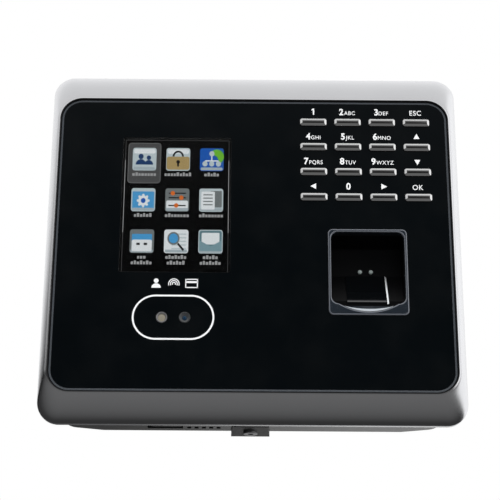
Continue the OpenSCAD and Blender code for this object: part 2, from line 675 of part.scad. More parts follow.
front_frame();
front_panel();
panel_tape();
display_window();
display_module();
display_ribbon();
key(0, 0);  // key_1
key(1, 0);  // key_2
key(2, 0);  // key_3
key(3, 0);  // key_escape
key(0, 1);  // key_4
key(1, 1);  // key_5
key(2, 1);  // key_6
key(3, 1);  // key_up
key(0, 2);  // key_7
key(1, 2);  // key_8
key(2, 2);  // key_9
key(3, 2);  // key_down
key(0, 3);  // key_left
key(1, 3);  // key_0
key(2, 3);  // key_right
key(3, 3);  // key_enter
keypad_mat();
keypad_board();
keypad_ribbon();
finger_guide();
finger_housing();
finger_platen();
finger_prism();
finger_imager();
finger_board();
finger_lamps();
camera_lens();
lamp_lens();
camera_board();
inner_chassis();
main_board();
processor_shield();
board_sockets();
board_screws();
lan_socket();
power_jack();
wiring_block();
wiring_screws();
usb_socket();
speaker();
backup_battery();
tamper_switch();
tamper_plunger();
reset_switch();
reset_button();
case_seal();
rear_case();
case_screws();
wall_plate();
lock_screw();
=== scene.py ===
import math

import bmesh
import bpy
import numpy as np
from bpy.props import FloatProperty, FloatVectorProperty, IntProperty, PointerProperty
from mathutils import Matrix, Vector


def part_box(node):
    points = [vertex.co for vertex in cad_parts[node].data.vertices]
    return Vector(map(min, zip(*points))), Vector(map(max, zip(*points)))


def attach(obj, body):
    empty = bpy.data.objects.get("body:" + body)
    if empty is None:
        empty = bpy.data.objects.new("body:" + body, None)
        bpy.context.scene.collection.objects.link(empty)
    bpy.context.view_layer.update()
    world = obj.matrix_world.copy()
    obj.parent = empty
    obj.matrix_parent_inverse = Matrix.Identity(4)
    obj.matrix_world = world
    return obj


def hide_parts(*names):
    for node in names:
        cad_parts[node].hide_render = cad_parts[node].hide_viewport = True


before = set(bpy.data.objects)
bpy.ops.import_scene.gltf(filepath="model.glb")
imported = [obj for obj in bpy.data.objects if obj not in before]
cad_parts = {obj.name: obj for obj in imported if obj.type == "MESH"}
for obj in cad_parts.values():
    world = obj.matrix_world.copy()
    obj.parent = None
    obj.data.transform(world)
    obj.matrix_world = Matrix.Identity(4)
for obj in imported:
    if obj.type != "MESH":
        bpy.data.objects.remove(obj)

bl_info = {
    "name": "Access terminal looks",
    "version": (1, 0, 0),
    "blender": (4, 5, 0),
    "location": "View3D > Sidebar > Terminal",
    "description": "Builds the finished surfaces of a wall-hung fingerprint terminal round its fixed frame",
    "category": "Object",
}

MM = 0.001
SHELL = "terminal"
PANEL_TAB = "Terminal"
TINY = 1e-7
GROW = np.array([-1, 1, -1, 1, 1])      # widens left, right, low, high and the corner's radius


# ---------------------------------------------------------------- the drawing plane
# Shapes are drawn facing the viewer: x right, y up, z out from the wall, all in metres.

class Box:
    """A CAD node's box in the drawing plane: left, right, low, high, back and front."""

    def __init__(self, node):
        corner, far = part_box(node)
        self.left, self.right = corner.x, far.x
        self.low, self.high = corner.z, far.z
        self.back, self.front = -far.y, -corner.y

    @property
    def x(self):
        return (self.left + self.right) / 2

    @property
    def y(self):
        return (self.low + self.high) / 2

    @property
    def width(self):
        return self.right - self.left

    @property
    def height(self):
        return self.high - self.low

    def edges(self, radius=0.0):
        """The box as a rounded rectangle: left, right, low, high and the corner's radius."""
        return np.array([self.left, self.right, self.low, self.high, radius])


def to_row(points):
    """Drawing plane to the row's frame: x stays, y becomes Z, and z becomes -Y."""
    points = np.asarray(points, float)
    return np.stack([points[..., 0], -points[..., 2], points[..., 1]], axis=-1)


# ---------------------------------------------------------------- outlines

def rounded_outline(left, right, low, high, radius, corner_steps=14, edge_steps=6):
    """Closed outline of a rounded rectangle, anticlockwise from its lower right corner.

    Each corner is a quarter turn round a centre that lies one radius in from both sides, and each
    straight is divided evenly. Returns an array of x and y.
    """
    radius = max(min(radius, (right - left) / 2, (high - low) / 2) - TINY, TINY)
    centres = np.array([
        [right - radius, low + radius], [right - radius, high - radius],
        [left + radius, high - radius], [left + radius, low + radius]])
    start = np.radians([-90, 0, 90, 180])
    turn = np.linspace(0, math.pi / 2, corner_steps + 1)
    angle = start[:, None] + turn[None, :]
    arcs = centres[:, None, :] + radius * np.stack([np.cos(angle), np.sin(angle)], axis=-1)
    share = np.arange(1, edge_steps)[None, :, None] / edge_steps
    ends, begins = arcs[:, -1:, :], np.roll(arcs, -1, axis=0)[:, :1, :]
    straights = ends + share * (begins - ends)
    return np.concatenate([arcs, straights], axis=1).reshape(-1, 2)


def disc_outline(x, y, radius, steps=40):
    """Circle: centre plus radius times the cosine and sine of an even turn."""
    turn = np.linspace(0, 2 * math.pi, steps, endpoint=False)
    return np.stack([x + radius * np.cos(turn), y + radius * np.sin(turn)], axis=-1)


def block_outline(x, y, width, height, radius=0.0):
    """Rounded rectangle about a centre."""
    if radius <= 0:
        half = np.array([[1, -1], [1, 1], [-1, 1], [-1, -1]]) / 2
        return np.array([x, y]) + half * [width, height]
    return rounded_outline(x - width / 2, x + width / 2, y - height / 2, y + height / 2, radius, 6, 1)


def arc_band(x, y, inner, outer, first, last, steps=24):
    """Band between two radii: the outer arc one way, then the inner arc back."""
    turn = np.radians(np.linspace(first, last, steps))
    ring = np.stack([np.cos(turn), np.sin(turn)], axis=-1)
    return np.array([x, y]) + np.concatenate([outer * ring, inner * ring[::-1]])


def gear_outline(x, y, radius, tooth, teeth=8, steps=128):
    """Toothed wheel: the radius plus a tooth height times a squared-off cosine of the turn."""
    turn = np.linspace(0, 2 * math.pi, steps, endpoint=False)
    reach = radius + tooth * np.clip(2.2 * np.cos(teeth * turn), -1, 1)
    return np.stack([x + reach * np.cos(turn), y + reach * np.sin(turn)], axis=-1)


# ---------------------------------------------------------------- meshes

def new_piece(name, points, faces, material, sharp=38):
    """Puts row-frame points and faces in an object at the origin, smooth except at sharp turns."""
    mesh = bpy.data.meshes.new(name)
    mesh.from_pydata(np.asarray(points, float).reshape(-1, 3).tolist(), [], faces)
    mesh.validate()
    mesh.update()
    mesh.shade_smooth()
    mesh.set_sharp_from_angle(angle=math.radians(sharp))
    mesh.materials.append(material)
    piece = bpy.data.objects.new(name, mesh)
    bpy.context.scene.collection.objects.link(piece)
    return piece


def loft_faces(rows, columns, closed=False):
    """Quads between neighbouring rows of a grid whose columns run round and close.

    A closed loft also joins its last row to its first, as a torus does. An open one ends in a
    flat face on its first row and one on its last.
    """
    row = np.arange(rows if closed else rows - 1)[:, None]
    column = np.arange(columns)[None, :]
    above, beside = (row + 1) % rows, (column + 1) % columns
    quads = np.stack([row * columns + column, row * columns + beside,
                      above * columns + beside, above * columns + column], axis=-1)
    faces = quads.reshape(-1, 4).tolist()
    if not closed:
        faces.append(list(range(columns))[::-1])
        faces.append(list(range((rows - 1) * columns, rows * columns)))
    return faces


def loft(name, rings, material, closed=False, sharp=38, edging=None, edge_rows=()):
    """Surface through a stack of outlines, given as an array of rings of x, y, z points.

    Rings climb from back to front, so that anticlockwise outlines give faces that point outwards.
    The quads that start at the rings named in edge_rows take the edging material.
    """
    rings = np.asarray(rings, float)
    rows, columns = rings.shape[:2]
    faces = loft_faces(rows, columns, closed)
    piece = new_piece(name, to_row(rings), faces, material, sharp)
    if edging is not None:
        piece.data.materials.append(edging)
        chosen = np.isin(np.arange(len(faces)) // columns, edge_rows)
        piece.data.polygons.foreach_set("material_index", chosen.astype(np.int32))
    return piece


def at_depth(outline, depth):
    """Gives a flat outline its distance from the wall."""
    return np.concatenate([outline, np.full((len(outline), 1), depth)], axis=1)


def lathe_parts(profile, x, y, steps=40):
    """Points and faces of a turned shape about an axis that points out of the wall.

    A point of the profile is a radius and a depth; the radius is carried round by the cosine and
    sine of the turn.
    """
    profile = np.asarray(profile, float)
    turn = np.linspace(0, 2 * math.pi, steps, endpoint=False)
    radius = profile[:, :1]
    rings = np.stack([
        x + radius * np.cos(turn), y + radius * np.sin(turn),
        np.repeat(profile[:, 1:], steps, axis=1)], axis=-1)
    return rings.reshape(-1, 3), loft_faces(len(profile), steps)


def prism_parts(outline, back, front):
    """Points and faces of a flat plate with the given outline between two depths."""
    points = np.concatenate([at_depth(outline, back), at_depth(outline, front)])
    return points, loft_faces(2, len(outline))


def joined(parts):
    """Many sets of points and faces as one, with the faces' numbers moved along."""
    points, faces, offset = [], [], 0
    for part_points, part_faces in parts:
        points.append(part_points)
        faces += [[i + offset for i in face] for face in part_faces]
        offset += len(part_points)
    return np.concatenate(points), faces


def plates(name, outlines, back, front, material):
    """One piece made of many flat plates that share their depths."""
    points, faces = joined([prism_parts(outline, back, front) for outline in outlines])
    return new_piece(name, to_row(points), faces, material)


def flat_ring(name, outer, line, back, front, material, fall=0.0):
    """Ring between two rounded rectangles one line width apart, its outer edge lower by the fall."""
    steps = ((line, back), (0, back), (0, front - fall), (line, front))
    rings = [at_depth(rounded_outline(*(outer - GROW * inset), corner_steps=24), depth)
             for inset, depth in steps]
    return loft(name, rings, material, closed=True)


def softened(node, material, width, segments=2, weight=None):
    """A copy of a CAD node with its triangles merged into flat faces and its sharp edges rounded.

    weight, if given, says from an edge's middle, in the drawing plane, what share of the width
    that edge gets.
    """
    same_point, same_plane, sharp = 0.002 * MM, math.radians(0.4), math.radians(40)
    form = bmesh.new()
    form.from_mesh(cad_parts[node].data)
    bmesh.ops.remove_doubles(form, verts=form.verts, dist=same_point)
    bmesh.ops.dissolve_limit(form, angle_limit=same_plane, verts=form.verts, edges=form.edges)
    form.verts.ensure_lookup_table()
    points = np.array([v.co for v in form.verts])
    faces = [[v.index for v in f.verts] for f in form.faces]
    form.free()
    piece = new_piece(node + "_finished", points, faces, material)
    bevel = piece.modifiers.new("rounding", "BEVEL")
    bevel.width = width
    bevel.segments = segments
    bevel.harden_normals = True
    bevel.miter_outer = "MITER_ARC"
    if weight is None:
        bevel.limit_method = "ANGLE"
        bevel.angle_limit = sharp
        return piece
    bevel.limit_method = "WEIGHT"
    mesh = piece.data
    ends = np.empty(len(mesh.edges) * 2, np.int64)
    mesh.edges.foreach_get("vertices", ends)
    spots = points[ends.reshape(-1, 2)].mean(axis=1)
    drawn = np.stack([spots[:, 0], spots[:, 2], -spots[:, 1]], axis=-1)
    share = np.where(edge_turns(mesh) > sharp, weight(drawn), 0.0)
    layer = mesh.attributes.new("bevel_weight_edge", "FLOAT", "EDGE")
    layer.data.foreach_set("value", share.astype(np.float32))
    return piece


def edge_turns(mesh):
    """Angle between the two faces at each edge, in radians."""
    form = bmesh.new()
    form.from_mesh(mesh)
    form.normal_update()
    turns = np.array([e.calc_face_angle(0.0) for e in form.edges])
    form.free()
    return turns


def stands_for(piece, slot, *nodes, body=SHELL):
    """The piece rides on its body and hides the CAD nodes it stands for; the slot is not used."""
    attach(piece, body)
    if nodes:
        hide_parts(*nodes)
    return piece


def coat_node(node, material):
    """Gives a CAD node that stays in view its finished material."""
    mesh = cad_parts[node].data
    mesh.materials.clear()
    mesh.materials.append(material)


# ---------------------------------------------------------------- shader groups

def put(tree, kind, values=None, **settings):
    """Adds a node, sets its properties, then sets or links its inputs by name or number."""
    node = tree.nodes.new(kind)
    for key, value in settings.items():
        setattr(node, key, value)
    for key, value in (values or {}).items():
        if isinstance(value, bpy.types.NodeSocket):
            tree.links.new(value, node.inputs[key])
        else:
            node.inputs[key].default_value = value
    return node


def math_node(tree, operation, first, second=0.0):
    return put(tree, "ShaderNodeMath", {0: first, 1: second}, operation=operation).outputs[0]


def product(tree, first, *others):
    """Many masks multiplied together."""
    for other in others:
        first = math_node(tree, "MULTIPLY", first, other)
    return first


def ramp(tree, value, start, end, low=0.0, high=1.0, kind="LINEAR"):
    """A value carried from start..end to low..high, and held beyond them."""
    return put(tree, "ShaderNodeMapRange", {
        "Value": value, "From Min": start, "From Max": end, "To Min": low, "To Max": high},
        interpolation_type=kind).outputs[0]


def object_place(tree):
    return put(tree, "ShaderNodeTexCoord").outputs["Object"]


def mottle(tree, place, scale, detail, roughness=0.5):
    return put(tree, "ShaderNodeTexNoise", {
        "Vector": place, "Scale": scale, "Detail": detail, "Roughness": roughness}).outputs[0]


def mixed(tree, factor, first, second):
    """Colour between two colours, by a mask that changes over the surface."""
    return put(tree, "ShaderNodeMix", {0: factor, 6: first, 7: second}, data_type="RGBA").outputs[2]


def shader_group(outputs, **inputs):
    """Makes a function that fills a shader group into one that gives the group, made only once.

    The group takes the function's name, and its inputs are given as names and defaults.
    """
    def decorate(fill):
        def given():
            if fill.__name__ in bpy.data.node_groups:
                return bpy.data.node_groups[fill.__name__]
            group = bpy.data.node_groups.new(fill.__name__, "ShaderNodeTree")
            for name, default in inputs.items():
                kind = "NodeSocketVector" if isinstance(default, tuple) else "NodeSocketFloat"
                made = group.interface.new_socket(name=name, in_out="INPUT", socket_type=kind)
                made.default_value = default
            for name in outputs:
                group.interface.new_socket(name=name, in_out="OUTPUT", socket_type="NodeSocketFloat")
            source, sink = group.nodes.new("NodeGroupInput"), group.nodes.new("NodeGroupOutput")
            for name, value in zip(outputs, fill(group, source.outputs)):
                group.links.new(value, sink.inputs[name])
            return group
        return given
    return decorate


@shader_group(["Value", "Height"], Scale=900.0, Stretch=(1, 1, 1), Low=0.3, High=0.4)
def fine_grain(group, given):
    """Fine mottling on stretched object coordinates, as a value between limits and as a height."""
    placed = put(group, "ShaderNodeMapping", {"Vector": object_place(group), "Scale": given["Stretch"]})
    height = mottle(group, placed.outputs[0], given["Scale"], 4.0, 0.55)
    return ramp(group, height, 0.3, 0.7, given["Low"], given["High"]), height


@shader_group(["Mask"], Scale=160.0, Amount=0.5)
def rubbed_edges(group, given):
    """Rubbed edges: where the surface turns outwards sharply, broken up by a coarse noise."""
    bend = put(group, "ShaderNodeNewGeometry").outputs["Pointiness"]
    broken = ramp(group, mottle(group, object_place(group), given["Scale"], 5.0), 0.4, 0.62)
    return [product(group, ramp(group, bend, 0.52, 0.6), broken, given["Amount"])]


@shader_group(["Mask"], Amount=0.1, Scale=60.0)
def settled_dust(group, given):
    """Settled dust: more on what faces up, in soft patches."""
    normal = put(group, "ShaderNodeNewGeometry").outputs["Normal"]
    upward = put(group, "ShaderNodeSeparateXYZ", {0: normal}).outputs["Z"]
    patch = ramp(group, mottle(group, object_place(group), given["Scale"], 7.0), 0.42, 0.75)
    return [product(group, ramp(group, upward, -0.2, 1.0, 0.15), patch, given["Amount"])]


@shader_group(["Mask"], Pitch=0.00018)
def picture_dots(group, given):
    """Picture dots of a display: full on a dot, and none on the thin dark lines between dots."""
    axes = put(group, "ShaderNodeSeparateXYZ", {0: object_place(group)}).outputs
    gap = 0.16
    steps = [math_node(group, "DIVIDE", axes[axis], given["Pitch"]) for axis in ("X", "Z")]
    return [product(group, *[math_node(group, "GREATER_THAN", math_node(group, "FRACT", step), gap)
                             for step in steps])]


def use_group(tree, group, **values):
    """Puts a shader group in a material with its inputs set, and gives its outputs."""
    return put(tree, "ShaderNodeGroup", values, node_tree=group()).outputs


# ---------------------------------------------------------------- materials

DUST = (0.5, 0.49, 0.46, 1.0)


def tone(colour, share=1.0):
    """A lighter or darker version of a colour, with full alpha."""
    return (*[min(c * share, 1.0) for c in colour[:3]], 1.0)


def blank(name, even):
    """A material of its own name and its shader, with the shader values that are the same all over.

    The shader is None when the material is already made.
    """
    name += "_finish"
    if name in bpy.data.materials:
        return bpy.data.materials[name], None
    material = bpy.data.materials.new(name)
    material.use_nodes = True
    shader = material.node_tree.nodes["Principled BSDF"]
    for key, value in even.items():
        shader.inputs[key].default_value = value
    return material, shader


def roughen(tree, shader, height, strength, distance):
    """Bumps the surface by a height."""
    relief = put(tree, "ShaderNodeBump", {"Strength": strength, "Distance": distance, "Height": height})
    tree.links.new(relief.outputs[0], shader.inputs["Normal"])


def finish(name, colour, roughness, spread=0.05, scale=900.0, bump=0.03, stretch=(1, 1, 1),
           worn=None, dust=0.0, shade=0.06, even=None):
    """A surface whose colour, roughness and bump vary finely.

    worn is the colour that shows on rubbed edges, shade is how far the colour drifts, and even
    holds the shader values that are the same all over.
    """
    material, shader = blank(name, even or {})
    if shader is None:
        return material
    tree = material.node_tree
    grain = use_group(tree, fine_grain, Scale=scale, Stretch=stretch,
                      Low=max(roughness - spread, 0.02), High=roughness + spread)
    tree.links.new(grain["Value"], shader.inputs["Roughness"])
    roughen(tree, shader, grain["Height"], bump, 0.2 * MM)
    drift = use_group(tree, fine_grain, Scale=45.0, Low=0.0, High=1.0)["Value"]
    base = mixed(tree, drift, tone(colour, 1 - shade), tone(colour, 1 + shade))
    if worn is not None:
        base = mixed(tree, use_group(tree, rubbed_edges, Amount=0.55)["Mask"], base, tone(worn))
    if dust > 0:
        base = mixed(tree, use_group(tree, settled_dust, Amount=dust)["Mask"], base, DUST)
    tree.links.new(base, shader.inputs["Base Color"])
    material.diffuse_color = tone(colour)
    return material


def clear(name, colour, ior=1.49):
    """Clear glass or acrylic with a faint ripple."""
    material, shader = blank(name, {
        "Base Color": tone(colour), "Roughness": 0.02, "Transmission Weight": 1.0, "IOR": ior})
    if shader is not None:
        tree = material.node_tree
        roughen(tree, shader, use_group(tree, fine_grain, Scale=300.0)["Height"], 0.01, 0.1 * MM)
    return material


def glowing(name, colour, strength):
    """Lit part of a display picture, broken into fine dots."""
    material, shader = blank(name, {
        "Base Color": (0.01, 0.01, 0.012, 1.0), "Roughness": 0.3, "Emission Strength": strength})
    if shader is not None:
        tree = material.node_tree
        mask = use_group(tree, picture_dots, Pitch=0.18 * MM)["Mask"]
        tree.links.new(mixed(tree, mask, tone(colour, 0.7), tone(colour)), shader.inputs["Emission Color"])
    return material


# ---------------------------------------------------------------- settings

def colour_property(name, default, description):
    return FloatVectorProperty(name=name, description=description, default=default, size=3,
                               subtype="COLOR", min=0.0, max=1.0)


def length_property(name, default, description):
    """A length kept in metres, with its default given in millimetres."""
    return FloatProperty(name=name, description=description, default=default * MM, min=0.0,
                         unit="LENGTH", subtype="DISTANCE", precision=5)


class TerminalSizes(bpy.types.PropertyGroup):
    lip_width: length_property("Lip width", 1.15, "Width of the thin lip round the panel")
    flare: length_property("Flare", 7.8, "How far the rim lies behind the lip")
    rim: length_property("Rim", 2.4, "Depth of the rim's straight edge")
    # The seal bead is a dark ring of painted shade, for the shadow in the gap between panel and frame.
    bead: length_property("Seal bead", 0.36, "Width of the dark bead between the panel and the frame")
    # Painted highlight: the panel edge is a lighter ring on the polished chamfer, for the light it catches.
    panel_bevel: length_property("Panel edge", 0.72, "Width of the polished edge of the black panel")
    key_bevel: length_property("Key bevel", 0.95, "Width of the slope round a key's face")
    key_drop: length_property("Key bevel drop", 0.55, "How far a key's slope falls")
    digit_height: length_property("Digit height", 2.85, "Height of the printed digits")
    letter_height: length_property("Letter height", 1.75, "Height of the small printed letters")
    legend_rise: length_property("Legend rise", 4.9, "From a key's middle up to the middle of its legend")
    ink: length_property("Ink thickness", 0.03, "Thickness of the white print")
    outline_width: length_property("Outline width", 32.3, "Width of the printed outline round the lenses")
    outline_height: length_property("Outline height", 18.5, "Height of the printed outline round the lenses")
    outline_line: length_property("Outline line", 0.7, "Line width of the printed outline")
    eye_radius: length_property("Eye radius", 2.22, "Outer radius of the lamp's cup and the camera's barrel")
    guide_scoop: length_property("Scoop radius", 22.7, "Radius of the scoop in the finger guide's lower lip")
    case_rounding: length_property("Case rounding", 0.8, "Rounding of the rear case's edges")
    plate_rounding: length_property("Plate rounding", 0.25, "Rounding of the wall plate's edges")
    tile: length_property("Tile size", 9.7, "Width of a menu tile on the screen")
    tile_height: length_property("Tile height", 10.1, "Height of a menu tile on the screen")
    tile_pitch_x: length_property("Tile pitch across", 13.75, "Distance between menu tiles across")
    tile_pitch_y: length_property("Tile pitch down", 17.95, "Distance between menu tiles down")
    gear_teeth: IntProperty(name="Gear teeth", description="Teeth of the settings picture",
                            default=8, min=5, max=16)


class TerminalColours(bpy.types.PropertyGroup):
    silver: colour_property("Silver paint", (0.76, 0.765, 0.785), "Paint of the flared frame")
    panel: colour_property("Panel", (0.0018, 0.0028, 0.0036), "Black acrylic of the front panel")
    key: colour_property("Keys", (0.78, 0.78, 0.78), "Bright metal of the keys")
    ink: colour_property("Print", (0.9, 0.91, 0.92), "White print on the panel")
    guide: colour_property("Finger guide", (0.012, 0.017, 0.024), "Blue-black plastic of the finger guide")
    case: colour_property("Rear case", (0.035, 0.038, 0.038), "Charcoal plastic of the rear case")
    plate: colour_property("Wall plate", (0.012, 0.012, 0.013), "Black coat of the wall plate")
    board: colour_property("Circuit board", (0.01, 0.09, 0.035), "Solder mask of the boards")


def sizes():
    return bpy.context.scene.terminal_sizes


def colours():
    return bpy.context.scene.terminal_colours


def silver_paint():
    return finish("silver_paint", colours().silver, 0.24, spread=0.03, scale=1800, bump=0.035,
                  worn=(0.85, 0.85, 0.86), dust=0.03, shade=0.015,
                  even={"Metallic": 1.0, "Coat Weight": 0.2, "Coat Roughness": 0.1})


def black_acrylic():
    return finish("black_acrylic", colours().panel, 0.06, spread=0.02, scale=260, bump=0.004,
                  dust=0.012, even={"IOR": 1.49, "Coat Weight": 0.3, "Coat Roughness": 0.03})


def key_metal():
    return finish("key_metal", colours().key, 0.13, spread=0.03, scale=700, bump=0.03,
                  stretch=(0.12, 1, 1.6), shade=0.02, even={"Metallic": 1.0})


def white_ink():
    return finish("white_ink", colours().ink, 0.5, scale=2200, bump=0.08, shade=0.03)


def guide_plastic():
    return finish("guide_plastic", colours().guide, 0.16, spread=0.05, scale=600, bump=0.02,
                  worn=(0.05, 0.055, 0.06), dust=0.03, even={"IOR": 1.52, "Coat Weight": 0.4})


def well_plastic():
    return finish("well_plastic", (0.0014, 0.0015, 0.0018), 0.4, spread=0.08, scale=2400, bump=0.1,
                  even={"Specular IOR Level": 0.2})


def case_plastic():
    return finish("case_plastic", colours().case, 0.36, spread=0.08, scale=2600, bump=0.2, dust=0.1,
                  even={"Coat Weight": 0.5, "Coat Roughness": 0.15})


def plate_coat():
    return finish("plate_coat", colours().plate, 0.4, spread=0.1, scale=3200, bump=0.4, dust=0.05)


def plated_steel():
    return finish("plated_steel", (0.42, 0.42, 0.43), 0.3, scale=1500, bump=0.08, even={"Metallic": 1.0})


def tinned_steel():
    return finish("tinned_steel", (0.6, 0.6, 0.61), 0.26, scale=900, bump=0.05,
                  stretch=(1, 1, 0.15), even={"Metallic": 1.0})


def black_nylon():
    return finish("black_nylon", (0.02, 0.02, 0.021), 0.45, scale=2000, bump=0.15, dust=0.05)


def board_mask():
    return finish("board_mask", colours().board, 0.3, scale=500, bump=0.06, dust=0.08, shade=0.2)


# ---------------------------------------------------------------- operators

class PieceOperator:
    """What every building step shares."""
    bl_options = {"REGISTER"}

    def execute(self, context):
        self.build(context)
        return {"FINISHED"}


def bezier(t, first, second):
    """Cubic curve from 0 to 1 whose two middle weights are given."""
    return 3 * (1 - t) ** 2 * t * first + 3 * (1 - t) * t ** 2 * second + t ** 3


class TERMINAL_OT_frame(PieceOperator, bpy.types.Operator):
    """Silver frame: a thin round lip, a sloped band that flares to the rim, and a hollow back"""
    bl_idname = "terminal.frame"
    bl_label = "Silver frame"

    # The lip's section: share of its width out from the panel, and fall from the crown in mm.
    LIP = ((0, 0.22), (0.02, 0.09), (0.06, 0.02), (0.12, 0), (0.3, 0.09), (0.5, 0.22), (0.65, 0.31),
           (0.8, 0.37), (1, 0.42))
    # The lip steps in the gap take the dark edging as painted shade, for the shadow between panel and frame.
    DARK_LIP = 4        # steps of the lip, from the panel out, that lie in the dark gap
    DARK_BACK = 3       # last rings, inside the frame's back

    def build(self, context):
        """Each ring is a rounded rectangle between the panel's outline and the rim's.

        The lip is a low rounded step. From its foot a cubic curve carries both the share of the way
        to the rim and the fall in depth, so that the band swells and meets the rim square on.
        """
        rim, panel, case = Box("front_frame"), Box("front_panel"), Box("rear_case")
        corner, gap, wall = 8.6 * MM, 0.1 * MM, 1.4 * MM
        inner = panel.edges(corner) + GROW * gap
        outer = rim.edges(corner)
        inside = inner - GROW * 0.4 * MM
        body = case.edges(7 * MM) - GROW * 1 * MM
        crown, lip = rim.front, sizes().lip_width
        rim_front = crown - sizes().flare
        back = rim_front - sizes().rim

        rows = [(inner, panel.back - wall)]
        rows += [(inner + GROW * lip * out, crown - fall * MM) for out, fall in self.LIP]
        start, foot = rows[-1]
        drop = foot - rim_front + 0.4 * MM
        for t in np.linspace(0, 1, 25)[1:]:
            rows.append((start + (outer - start) * bezier(t, 0.32, 1.0), foot - drop * bezier(t, 0.13, 0.6)))
        rows += [(outer, back + 0.5 * MM), (outer - GROW * 0.12 * MM, back + 0.15 * MM),
                 (outer - GROW * 0.5 * MM, back), (body, back), (body, back + wall),
                 (inside, panel.back - wall - 1 * MM), (inside, panel.back - wall)]
        rings = [at_depth(rounded_outline(*edges, corner_steps=20, edge_steps=10), depth)
                 for edges, depth in rows]
        # The dark edging is painted shade on the lip's first rings, where the gap lies in shadow, and the
        # frame's own dark inside on the last rings.
        dark = finish("frame_inside_and_gap_shade", (0.012, 0.012, 0.013), 0.5, scale=2000, bump=0.1)
        last = len(rows)
        piece = loft("frame_silver", rings, silver_paint(), closed=True, sharp=50, edging=dark,
                     edge_rows=(*range(self.DARK_LIP + 1), *range(last - self.DARK_BACK, last)))
        stands_for(piece, "silver_paint", "front_frame")


class TERMINAL_OT_panel(PieceOperator, bpy.types.Operator):
    """Black acrylic panel with a polished edge, its tape and the clear window"""
    bl_idname = "terminal.panel"
    bl_label = "Front panel"

    def build(self, context):
        """The outer edge is cut wide and the edges of the holes are only just broken."""
        panel = Box("front_panel")
        reach, hole_share = 2.5 * MM, 0.16

        def weight(spots):
            side = np.minimum(spots[:, 0] - panel.left, panel.right - spots[:, 0])
            end = np.minimum(spots[:, 1] - panel.low, panel.high - spots[:, 1])
            return np.where(np.minimum(side, end) < reach, 1.0, hole_share)

        piece = softened("front_panel", black_acrylic(), 0.4 * MM, weight=weight)
        stands_for(piece, "panel_acrylic", "front_panel")
        self.edge_lines(panel)
        window = softened("display_window", clear("window_acrylic", (0.93, 0.95, 0.96)), 0.05 * MM)
        self.mask_sides(window)
        stands_for(window, "window_acrylic", "display_window")
        coat_node("panel_tape", finish("tape_foam", (0.02, 0.02, 0.02), 0.8, scale=3000, bump=0.4))

    def edge_lines(self, panel):
        """A dark ring that reaches past the panel's edge, painted shade for the shadow in the gap, and just
        inside it a lighter ring on the polished chamfer, a painted highlight.
        """
        outer, bead = panel.edges(8.5 * MM), sizes().bead
        # Painted shade: a dark ring where the gap between panel and frame lies in shadow.
        seal = finish("gap_shade_bead", (0.012, 0.012, 0.013), 0.6, scale=2500, bump=0.1)
        ring = flat_ring("panel_gap_shade_bead", outer + GROW * 0.1 * MM, bead + 0.2 * MM,
                         panel.front - 1 * MM, panel.front - 0.2 * MM, seal)
        stands_for(ring, "panel_acrylic")
        # Painted highlight: a lighter ring on the polished chamfer, for the light that edge catches.
        cut = finish("chamfer_glint", (0.06, 0.067, 0.076), 0.25, scale=1500, bump=0.04)
        ring = flat_ring("panel_chamfer_glint", outer - GROW * bead, sizes().panel_bevel,
                         panel.front - 0.6 * MM, panel.front + 0.04 * MM, cut, fall=0.03 * MM)
        stands_for(ring, "panel_acrylic")

    def mask_sides(self, window):
        """Blackens the faces of the window that stand upright to the panel, as its printed border does."""
        mesh = window.data
        mesh.materials.append(finish("window_mask", (0.003, 0.003, 0.004), 0.5, scale=1500, bump=0.02))
        normals = np.empty(len(mesh.polygons) * 3)
        mesh.polygons.foreach_get("normal", normals)
        upright = np.abs(normals.reshape(-1, 3)[:, 1]) < 0.5
        mesh.polygons.foreach_set("material_index", upright.astype(np.int32))


# A key's legend is a large digit with small letters, or the way its arrow points in degrees.
KEY_LEGENDS = {
    "key_1": ("1", ""), "key_2": ("2", "ABC"), "key_3": ("3", "DEF"), "key_escape": ("", "ESC"),
    "key_4": ("4", "GHI"), "key_5": ("5", "JKL"), "key_6": ("6", "MNO"), "key_up": 90,
    "key_7": ("7", "PQRS"), "key_8": ("8", "TUV"), "key_9": ("9", "WXYZ"), "key_down": -90,
    "key_left": 180, "key_0": ("0", ""), "key_right": 0, "key_enter": ("", "OK"),
}


def digit_one(height, thickness):
    """A one with a flag, which the built-in letters draw too plainly."""
    outline = np.array([[0.17, 0], [0.37, 0], [0.37, 1], [0.22, 1], [0.0, 0.85], [0.0, 0.66], [0.17, 0.76]])
    return prism_parts(outline * height, -thickness / 2, thickness / 2)


def lettering(words, height, thickness, swell):
    """Points, in the drawing plane, and faces of a line of letters, with capitals of the given height."""
    capital, narrowing = 0.729, 0.92
    curve = bpy.data.curves.new("letters", "FONT")
    curve.body = words
    curve.size = 1.0
    curve.offset = swell
    curve.space_character = 1.12
    curve.resolution_u = 6
    curve.extrude = 0.5
    holder = bpy.data.objects.new("letters", curve)
    bpy.context.scene.collection.objects.link(holder)
    bpy.context.view_layer.update()
    mesh = bpy.data.meshes.new_from_object(holder.evaluated_get(bpy.context.evaluated_depsgraph_get()))
    points = np.empty(len(mesh.vertices) * 3)
    mesh.vertices.foreach_get("co", points)
    faces = [list(face.vertices) for face in mesh.polygons]
    bpy.data.objects.remove(holder)
    bpy.data.curves.remove(curve)
    bpy.data.meshes.remove(mesh)
    scale = height / capital
    points = points.reshape(-1, 3) * [scale * narrowing, scale, thickness]
    points[:, 0] -= points[:, 0].min()
    return points, faces


